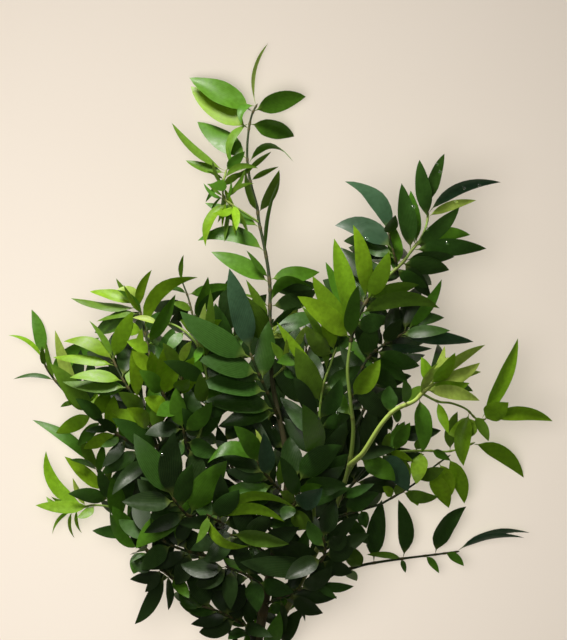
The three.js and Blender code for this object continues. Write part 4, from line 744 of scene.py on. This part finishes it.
def leafValues(leaf, tone):
    # how one leaf bends, folds and is coloured, over what the CAD says
    code, youth = tones[tone]
    shade = dice.uniform(*leafLook["shades"])
    warm = dice.uniform(*leafLook["warmths"])
    colour = hexColour(code)
    red, green, blue = (part * shade for part in colour[:3])
    leaf["leafColour"] = [red * (1 + warm), green, blue * (1 - warm), 1]
    leaf["youth"] = youth
    leaf["halfWidth"] = leaf["width"] / 2
    for field in ("fold", "cup", "wave", "phase", "twist", "hook"):
        leaf[field] = dice.uniform(*leafLook[field + "s"])
    return leaf


def onTwig(leaf, name):
    # the stalk starts on the middle of its twig
    line = twigLines[name]
    tree = KDTree(len(line))
    for i, point in enumerate(line):
        tree.insert(point, i)
    tree.balance()
    leaf["base"] = tree.find(leaf["base"])[0]
    return leaf


leafSkin = leafMaterial()
leafMaker = leafTree()
leaves = {}
for name, letters in leafTones.items():
    found = readLeaves(name)
    if len(found) != len(letters):
        print("leaves found and toned:", name, len(found), len(letters))
    leaves[name] = [leafValues(onTwig(leaf, name), tone) for leaf, tone in zip(found, letters)]
print("leaves read:", sum(len(group) for group in leaves.values()))


# what a blade would cross or cover
patch = {
    "steps": 7, "from": 0.14, "to": 0.97,
    "columns": (-1, -0.5, 0, 0.5, 1),
    "flatter": (0.55, 0.4, 0.0),        # what each round leaves of a crossing leaf's relief
    "spots": (0.0, 0.33, 0.67),         # where each face is sampled for what it hides
    "leastHeight": 1.5 * mm,            # of an added leaf over the floor
    "ribbonEvery": 4,                   # points of a twig's line
}
patchRow = len(patch["columns"])
patchFaces = patch["steps"] * (patchRow - 1)
patchPlaces = np.linspace(patch["from"], patch["to"], patch["steps"] + 1)
patchWidths = np.interp(patchPlaces, *zip(*leafLook["outline"]))


def bladePatch(leaf):
    # a coarse copy of the blade that the tree will grow
    points = []
    for u, width in zip(patchPlaces, patchWidths):
        first = leaf["base"].lerp(leaf["bend"], u)
        second = leaf["bend"].lerp(leaf["tip"], u)
        tangent = (second - first).normalized()
        edge = Quaternion(tangent, (u - leafLook["untwisted"]) * leaf["twist"]) @ leaf["edge"]
        sideways = (edge - tangent * edge.dot(tangent)).normalized()
        face = tangent.cross(sideways)
        reach = leaf["halfWidth"] * width
        aside = leaf["halfWidth"] * leaf["hook"] * u ** leafLook["hookPower"]
        for x in patch["columns"]:
            wave = math.sin(leafLook["waveCount"] * u + leaf["phase"]) * x * leaf["wave"]
            rise = (abs(x) * leaf["fold"] + x * x * leaf["cup"] + wave) * reach
            points.append(first.lerp(second, u) + sideways * (x * reach + aside) + face * rise)
    return points


def patchTree(patches):
    points = [point for patched in patches for point in patched]
    faces = []
    for start in range(0, len(points), patchRow * (patch["steps"] + 1)):
        for step in range(patch["steps"]):
            for column in range(patchRow - 1):
                corner = start + step * patchRow + column
                faces.append((corner, corner + 1, corner + patchRow + 1, corner + patchRow))
    return BVHTree.FromPolygons(points, faces)


def layFlatter(group):
    # relief must not push a blade through its neighbour: what crosses is made flatter
    for share in patch["flatter"]:
        tree = patchTree([bladePatch(leaf) for leaf in group])
        crossing = set()
        for a, b in tree.overlap(tree):
            if a // patchFaces != b // patchFaces:
                crossing |= {a // patchFaces, b // patchFaces}
        print("leaves that cross a neighbour:", len(crossing))
        for i in crossing:
            for field in ("fold", "cup", "wave", "twist", "hook"):
                group[i][field] *= share


layFlatter([leaf for group in leaves.values() for leaf in group])


# inner leaves:
# the photo shows no floor inside the crown, so its twigs carry more leaves than were drawn
inner = {
    "leaves": 260,              # at most
    "places": (4, 3),           # first point of a twig's line that may carry one, and each how many
    "tries": 24,                # for each bare place
    "misses": 420,              # bare places given up, after which the search ends
    "overshoot": (1.2, 2.2),    # the leaf's length over its reach to the bare place
    "bow": 0.1,
    # mostly the darkest tone, which is painted shade for the crown's inside
    "tones": "kkkkddkf",
    "length": (22, 62),         # millimetres
    "reach": (9, 44),           # from the twig to the bare place
    "widthShare": (0.27, 0.35),
    "depth": (6, 80),           # height of the leaf's middle above the floor
    "tilt": 0.55,
    "leastTilt": -0.4,          # leaves lean up the sheet more than down
    "backward": -0.1,           # how far back along its twig a leaf may point
    "arch": (0.04, 0.16),
    "tipDrop": 0.6,             # of the arch
    "cell": 2.5 * mm,
    "leastGain": 5,             # cells of bare floor that a leaf must cover to be worth it
    # the crown's outline on the sheet
    "crown": [(58, 365), (83, 333), (122, 320), (157, 301), (192, 320), (211, 288), (227, 275),
              (256, 307), (272, 320), (301, 282), (333, 256), (349, 231), (384, 231), (416, 256),
              (442, 269), (436, 301), (461, 346), (416, 359), (397, 384), (384, 416), (410, 448),
              (397, 487), (359, 525), (340, 564), (320, 596), (288, 640), (211, 640), (179, 609),
              (147, 577), (122, 545), (96, 500), (70, 448), (96, 410)],
}


def insideCrown(point):
    inside = False
    corners = [onSheet(x, y, 0) for x, y in inner["crown"]]
    for a, b in zip(corners, corners[1:] + corners[:1]):
        if (a.y > point.y) != (b.y > point.y):
            if point.x < a.x + (point.y - a.y) * (b.x - a.x) / (b.y - a.y):
                inside = not inside
    return inside


def cellsUnder(patched):
    # the floor cells that a blade hides from above
    cells = set()
    for row in range(patch["steps"]):
        for column in range(patchRow - 1):
            corner = row * patchRow + column
            a, b, c, d = (patched[corner + k] for k in (0, 1, patchRow, patchRow + 1))
            for u in patch["spots"]:
                for v in patch["spots"]:
                    point = a.lerp(b, u).lerp(c.lerp(d, u), v)
                    cells.add((round(point.x / inner["cell"]), round(point.y / inner["cell"])))
    return cells


def twigRibbons():
    # three crossed ribbons along each twig, so that no new leaf cuts through it
    points, faces = [], []
    every = patch["ribbonEvery"]
    for name, line in twigLines.items():
        radius = max(wood[name][1]) * mm
        for sideways in (Vector((0, 0, radius)), Vector((radius, 0, 0)), Vector((0, radius, 0))):
            for a, b in zip(line[::every], line[every::every]):
                faces.append(tuple(range(len(points), len(points) + 4)))
                points += [a - sideways, a + sideways, b + sideways, b - sideways]
    return BVHTree.FromPolygons(points, faces)


def innerLeaf(name, base, forward, target):
    # a leaf that grows from this place on a twig and hides the target, or nothing
    way = target - base
    least, most = inner["length"]
    length = way.length * dice.uniform(*inner["overshoot"])
    way.normalize()
    if not least * mm < length < most * mm or way.dot(forward) < inner["backward"]:
        return None
    aside = dice.uniform(-1, 1) * inner["tilt"]
    face = Vector((aside, dice.uniform(inner["leastTilt"], 1) * inner["tilt"], 1))
    edge = face.cross(way).normalized()
    arch = edge.cross(way) * -length * dice.uniform(*inner["arch"])
    bow = edge * length * dice.uniform(-inner["bow"], inner["bow"])
    leaf = {
        "base": base, "bend": base + way * length * 0.5 + arch + bow,
        "tip": base + way * length - arch * inner["tipDrop"], "edge": edge,
        "width": length * dice.uniform(*inner["widthShare"]),
    }
    if not insideCrown(leaf["tip"]):
        return None
    return leafValues(leaf, dice.choice(inner["tones"]))


def fillCrown():
    places = []
    first, every = inner["places"]
    for name, line in twigLines.items():
        for i in range(first, len(line) - every, every):
            places.append((name, line[i], (line[i + 1] - line[i]).normalized()))
    corners = [onSheet(x, y, 0) / inner["cell"] for x, y in inner["crown"]]
    columns = range(round(min(c.x for c in corners)), round(max(c.x for c in corners)))
    rows = range(round(min(c.y for c in corners)), round(max(c.y for c in corners)))
    crown = {(x, y) for x in columns for y in rows if insideCrown(Vector((x, y, 0)) * inner["cell"])}
    grown = [bladePatch(leaf) for group in leaves.values() for leaf in group]
    bare = crown - set().union(*(cellsUnder(patched) for patched in grown))
    print("bare cells before:", len(bare), "of", len(crown))
    oldTree, ribbons = patchTree(grown), twigRibbons()
    added = []
    misses = 0
    near, far = inner["reach"]
    while len(added) < inner["leaves"] and misses < inner["misses"] and bare:
        x, y = dice.choice(sorted(bare))
        spot = Vector((x, y)) * inner["cell"]
        around = [entry for entry in places if near * mm < (entry[1].xy - spot).length < far * mm]
        addedTree = patchTree(added) if added else None
        best, gain = None, inner["leastGain"]
        for name, base, forward in dice.choices(around, k=inner["tries"]) if around else ():
            target = Vector((*spot, dice.uniform(*inner["depth"]) * mm))
            leaf = innerLeaf(name, base, forward, target)
            if not leaf:
                continue
            patched = bladePatch(leaf)
            fresh = len(cellsUnder(patched) & bare)
            if fresh <= gain or min(point.z for point in patched) < patch["leastHeight"]:
                continue
            own = patchTree([patched])
            if own.overlap(oldTree) or own.overlap(ribbons) or (addedTree and own.overlap(addedTree)):
                continue
            best, gain = (name, leaf, patched), fresh
        if not best:
            misses += 1
            continue
        name, leaf, patched = best
        leaves.setdefault(name, []).append(leaf)
        bare -= cellsUnder(patched)
        added.append(patched)
    print("inner leaves:", len(added), "bare cells after:", len(bare))


fillCrown()


# sprouts:
# young shoots end in tufts of narrow leaves that are still unfolding
sprouts = [
    {"twig": "young_right_shoot", "from": 0.84, "heading": (5, 75), "rise": (-0.25, 0.35),
     "length": (24, 44), "leaves": 9, "tones": "pppb", "widthShare": (0.17, 0.26)},
    {"twig": "leader_left_shoot", "from": 0.25, "heading": (-130, -60), "rise": (-0.3, 0.4),
     "length": (22, 40), "leaves": 9, "tones": "bofo", "widthShare": (0.13, 0.19)},
    {"twig": "leader_left_shoot", "from": 0.45, "heading": (20, 80), "rise": (-0.1, 0.5),
     "length": (22, 42), "leaves": 6, "tones": "offo", "widthShare": (0.12, 0.18)},
    {"twig": "leader_left_shoot", "from": 0.55, "heading": (100, 160), "rise": (-0.2, 0.4),
     "length": (18, 30), "leaves": 4, "tones": "offb", "widthShare": (0.13, 0.2)},
    {"twig": "left_claw_shoot", "from": 0.60, "heading": (95, 175), "rise": (-0.1, 0.4),
     "length": (22, 36), "leaves": 4, "tones": "bbp", "widthShare": (0.2, 0.28)},
    {"twig": "left_high_shoot", "from": 0.86, "heading": (60, 150), "rise": (-0.2, 0.3),
     "length": (26, 42), "leaves": 4, "tones": "bfo", "widthShare": (0.18, 0.26)},
]


sproutLook = {"triesEach": 60, "lastPlace": 0.98, "tilt": 0.8, "bow": 0.3, "tipBow": 0.5}


def growSprouts():
    kept = [bladePatch(leaf) for group in leaves.values() for leaf in group]
    ribbons = twigRibbons()
    for sprout in sprouts:
        line = twigLines[sprout["twig"]]
        grown = 0
        for _ in range(sproutLook["triesEach"] * sprout["leaves"]):
            if grown == sprout["leaves"]:
                break
            share = dice.uniform(sprout["from"], sproutLook["lastPlace"])
            base = line[int(share * (len(line) - 1))].copy()
            heading = math.radians(dice.uniform(*sprout["heading"]))
            rise = dice.uniform(*sprout["rise"])
            way = Vector((math.cos(heading), math.sin(heading), rise)).normalized()
            length = dice.uniform(*sprout["length"]) * mm
            face = Vector([dice.uniform(-sproutLook["tilt"], sproutLook["tilt"]) for axis in (0, 1)] + [1])
            edge = face.cross(way).normalized()
            bow = edge * length * dice.uniform(-sproutLook["bow"], sproutLook["bow"])
            shape = {
                "base": base, "bend": base + way * length * 0.5 + bow,
                "tip": base + way * length - bow * sproutLook["tipBow"], "edge": edge,
                "width": length * dice.uniform(*sprout["widthShare"]),
            }
            leaf = leafValues(shape, dice.choice(sprout["tones"]))
            patched = bladePatch(leaf)
            own = patchTree([patched])
            if min(point.z for point in patched) < patch["leastHeight"]:
                continue
            if own.overlap(ribbons) or own.overlap(patchTree(kept)):
                continue
            leaves[sprout["twig"]].append(leaf)
            kept.append(patched)
            grown += 1
        print("sprout leaves on", sprout["twig"], grown)


growSprouts()

vectorFields = ("base", "bend", "tip", "edge")
numberFields = ("halfWidth", "fold", "cup", "wave", "phase", "twist", "hook", "youth")


def growLeaves(name, group):
    piece = newPiece(name, [leaf["base"] for leaf in group])
    for field in vectorFields:
        store(piece, field, "FLOAT_VECTOR", [tuple(leaf[field]) for leaf in group])
    for field in numberFields:
        store(piece, field, "FLOAT", [leaf[field] for leaf in group])
    store(piece, "leafColour", "FLOAT_COLOR", [leaf["leafColour"] for leaf in group])
    grow(piece, leafMaker, {
        "Sections": leafLook["sections"], "Corners": leafLook["corners"],
        "Thickness": leafLook["thickness"], "Stalk thickness": leafLook["stalkThickness"],
        "Skin": leafSkin})
    for field in (*vectorFields, "gridPlace", *numberFields[:-1]):
        if field in piece.data.attributes:
            piece.data.attributes.remove(piece.data.attributes[field])
    return piece


twigMaker = woodTree()


def growTwig(name, bark, roughBark):
    parent, (thick, thin), _ = wood[name]
    line = twigLines[name]
    bases = [leaf["base"] for leaf in leaves.get(name, [])]
    lengths = [0.0]
    for a, b in zip(line, line[1:]):
        lengths.append(lengths[-1] + (b - a).length)
    whole = lengths[-1]
    low, high = woodLook["woodyRadius"]
    tipShare = woodLook["tipShare"]
    radii, joints, ages = [], [], []
    for point, length in zip(line, lengths):
        near = min([(point - base).length for base in bases], default=1.0)
        joint = math.exp(-(near / woodLook["jointLength"]) ** 2)
        plain = (thick + (thin - thick) * length / whole) * mm
        closing = min(1.0, (whole - length) / woodLook["tipLength"])
        radius = plain + woodLook["jointSwelling"] * joint
        if name not in continued:
            radius *= tipShare + (1 - tipShare) * math.sqrt(closing)
        radii.append(radius)
        joints.append(joint)
        ages.append(min(1.0, max(0.0, (plain - low) / (high - low))))
    piece = newPiece(name, line, [(i, i + 1) for i in range(len(line) - 1)])
    store(piece, "twigRadius", "FLOAT", radii)
    store(piece, "joint", "FLOAT", joints)
    store(piece, "age", "FLOAT", ages)
    store(piece, "downTwig", "FLOAT", [length * woodLook["barkStretch"] for length in lengths])
    return grow(piece, twigMaker, {
        "Sides": woodLook["sides"], "Ring every": woodLook["ringEvery"],
        "Rough bark": roughBark, "Bark": bark})


def sawFoot(stem):
    # the sawn end shows the wood inside the bark
    stem.data.materials.append(heartwoodMaterial(onSheet(*wood["main_stem"][2][0])))
    for face in stem.data.polygons:
        if face.normal.y < woodLook["footFacing"] and len(face.vertices) == woodLook["sides"]:
            face.material_index = 1
            face.use_smooth = False


# the pieces, one twig and its leaves at a time
barkOf = {"main_stem": "stem", "young_right_shoot": "young"}
for name in ("right_limb", "right_arm_shoot", "far_right_shoot", "right_top_shoot", "arching_young_shoot",
             "centre_right_shoot", "left_claw_shoot", "leader_side_shoot", "leader_left_shoot"):
    barkOf[name] = "pale"
for name in wood:
    isStem = name == "main_stem"
    twig = growTwig(name, barks[barkOf.get(name, "green")], woodLook["roughBark"] if isStem else 0.0)
    twig.name = name + "_wood"
    if isStem:
        sawFoot(twig)
    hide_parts(name)
    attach(twig, "root")
    if name in leaves:
        foliage = growLeaves(name + "_leaves", leaves[name])
        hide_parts(name)
        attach(foliage, "root")
print("wood and leaves grown")


# water drops:
# sprayed water, rounded up by the waxy leaf: clear, with a sharp point of light in each
drops = {
    "spots": [(435, 217), (438, 163), (441, 171), (465, 187), (480, 184), (456, 201), (427, 229),
              (413, 207), (398, 222), (366, 239), (404, 240), (447, 243), (164, 453), (337, 413),
              (273, 427), (433, 283)],
    "above": 300,               # where the search for the leaf below starts, in millimetres
    "radius": (1.5, 2.3),       # millimetres
    "flatness": 0.55,
    "lift": 0.15 * mm,
}


def waterMaterial():
    # the coat mirrors more than water does, for the light that a real drop gathers
    material, tree = newMaterial("clear_water")
    surface = add(tree, "ShaderNodeBsdfPrincipled", {
        "Base Color": hexColour(0xFFFFFF), "Roughness": 0.08, "IOR": 1.333, "Transmission Weight": 1.0,
        "Coat Weight": 1.0, "Coat IOR": 2.6, "Coat Roughness": 0.1})
    # light goes through to the leaf below, so a drop casts no dark shadow there
    through = add(tree, "ShaderNodeBsdfTransparent")
    shadowRay = add(tree, "ShaderNodeLightPath", output=1)
    clear = add(tree, "ShaderNodeMixShader", [shadowRay, surface, through])
    add(tree, "ShaderNodeOutputMaterial", [clear])
    return material


def dropTree():
    # a flattened ball at each point, lying on the leaf under it
    tree, given = newTree("drop", {"Flatness": 0.5, "Water": water})
    ball = add(tree, "GeometryNodeMeshIcoSphere", {"Radius": 1.0, "Subdivisions": 2})
    stand = add(tree, "GeometryNodeTransform", {
        "Geometry": ball, "Scale": add(tree, "ShaderNodeCombineXYZ", [1.0, 1.0, given["Flatness"]])})
    normal = carried(tree, "leafNormal", "FLOAT_VECTOR")
    turn = add(tree, "FunctionNodeAlignRotationToVector", {"Vector": normal}, axis="Z")
    balls = add(tree, "GeometryNodeInstanceOnPoints", {
        "Points": given["Geometry"], "Instance": stand, "Rotation": turn,
        "Scale": carried(tree, "dropRadius")})
    whole = add(tree, "GeometryNodeRealizeInstances", [balls])
    smooth = add(tree, "GeometryNodeSetShadeSmooth", {0: whole, "Shade Smooth": True}, domain="FACE")
    done = add(tree, "GeometryNodeSetMaterial", {0: smooth, "Material": given["Water"]})
    add(tree, "NodeGroupOutput", [done])
    return tree


def putDrops():
    foliage = [piece for piece in bpy.data.objects if piece.name.endswith("_leaves")]
    blades = []
    for piece in foliage:
        places = [vertex.co.copy() for vertex in piece.data.vertices]
        blades.append(BVHTree.FromPolygons(places, [tuple(face.vertices) for face in piece.data.polygons]))
    places, normals = [], []
    for spot in drops["spots"]:
        above = onSheet(*spot, drops["above"])
        hits = [tree.ray_cast(above, Vector((0, 0, -1))) for tree in blades]
        hits = [hit for hit in hits if hit[0]]
        if hits:
            place, normal = max(hits, key=lambda hit: hit[0].z)[:2]
            places.append(place + normal * drops["lift"])
            normals.append(tuple(normal))
    piece = newPiece("water_drops", places)
    store(piece, "leafNormal", "FLOAT_VECTOR", normals)
    store(piece, "dropRadius", "FLOAT", [dice.uniform(*drops["radius"]) * mm for place in places])
    grow(piece, dropTree(), {"Flatness": drops["flatness"], "Water": water})
    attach(piece, "root")
    print("water drops:", len(places))


water = waterMaterial()
putDrops()


# floor, light and camera
def stageScene():
    floorMaterial, tree = newMaterial("pale_floor")
    place = add(tree, "ShaderNodeTexCoord", output=3)
    fleck = add(tree, "ShaderNodeTexNoise", {"Vector": place, "Scale": 3.0, "Detail": 2.0})
    paint = tint(tree, fleck, hexColour(0xECE3D7), hexColour(0xEFE7DC))
    surface = add(tree, "ShaderNodeBsdfPrincipled", {
        "Base Color": paint, "Roughness": 0.9, "Specular IOR Level": 0.2})
    add(tree, "ShaderNodeOutputMaterial", [surface])
    half = 4.0
    corners = [(-half, -half, 0), (half, -half, 0), (half, half, 0), (-half, half, 0)]
    floor = newPiece("floor", corners, faces=[(0, 1, 2, 3)])
    floor.data.materials.append(floorMaterial)

    # the branch's two strong lights leave the floor alone, and the floor has its own, so
    # that the shadows on it stay faint, as on a wall some way behind
    onlyFloor = bpy.data.collections.new("only_floor")
    notFloor = bpy.data.collections.new("not_floor")
    for group, state in ((onlyFloor, "INCLUDE"), (notFloor, "EXCLUDE")):
        group.objects.link(floor)
        group.collection_objects[0].light_linking.link_state = state

    lightColour = 0xFFFAF4
    lights = [
        # name, place, aims at, size, watts, what it lights, what shades it
        ("window", (-0.40, 1.2, 0.68), (0.0, 0.05, 0.05), 0.5, 34, notFloor, None),
        ("ceiling", (-0.3, 0.2, 2.2), (0.0, 0.0, 0.0), 0.9, 3, None, None),
        ("lamp", (-0.50, 0.55, 2.2), (0.0, 0.0, 0.05), 0.3, 5, notFloor, None),
        ("wall_wash", (-0.35, -0.05, 1.2), (-0.12, -0.02, 0.0), 0.7, 9, onlyFloor, onlyFloor),
        ("wall_soft", (-0.35, -0.05, 1.3), (-0.12, -0.02, 0.0), 1.3, 9, onlyFloor, None),
    ]
    for name, where, target, size, watts, lit, shading in lights:
        lamp = bpy.data.lights.new(name, "AREA")
        lamp.shape = "DISK"
        lamp.size = size
        lamp.energy = watts
        lamp.color = hexColour(lightColour)[:3]
        holder = bpy.data.objects.new(name, lamp)
        holder.location = where
        holder.rotation_euler = (Vector(target) - Vector(where)).to_track_quat("-Z", "Y").to_euler()
        holder.visible_camera = False
        holder.light_linking.receiver_collection = lit
        holder.light_linking.blocker_collection = shading
        bpy.context.scene.collection.objects.link(holder)
    world = bpy.data.worlds.new("room")
    world.use_nodes = True
    sky = world.node_tree.nodes["Background"]
    sky.inputs["Color"].default_value = hexColour(0xF6F1EA)
    sky.inputs["Strength"].default_value = 0.1
    bpy.context.scene.world = world
    bpy.context.scene.view_settings.view_transform = "Standard"

    # the photo is 567 by 640 pixels, one for each millimetre at the leaves
    view = {"middle": (283.5, 320.0), "tall": 0.640, "level": 0.075, "distance": 3.4, "sensor": 36.0}
    camera = bpy.data.cameras.new("camera")
    camera.sensor_width = view["sensor"]
    camera.lens = view["sensor"] * view["distance"] / view["tall"]
    camera.clip_end = 50
    holder = bpy.data.objects.new("camera", camera)
    holder.location = onSheet(*view["middle"], 0) + Vector((0, 0, view["level"] + view["distance"]))
    bpy.context.scene.collection.objects.link(holder)
    bpy.context.scene.camera = holder


stageScene()
print("floor, lights and camera set")
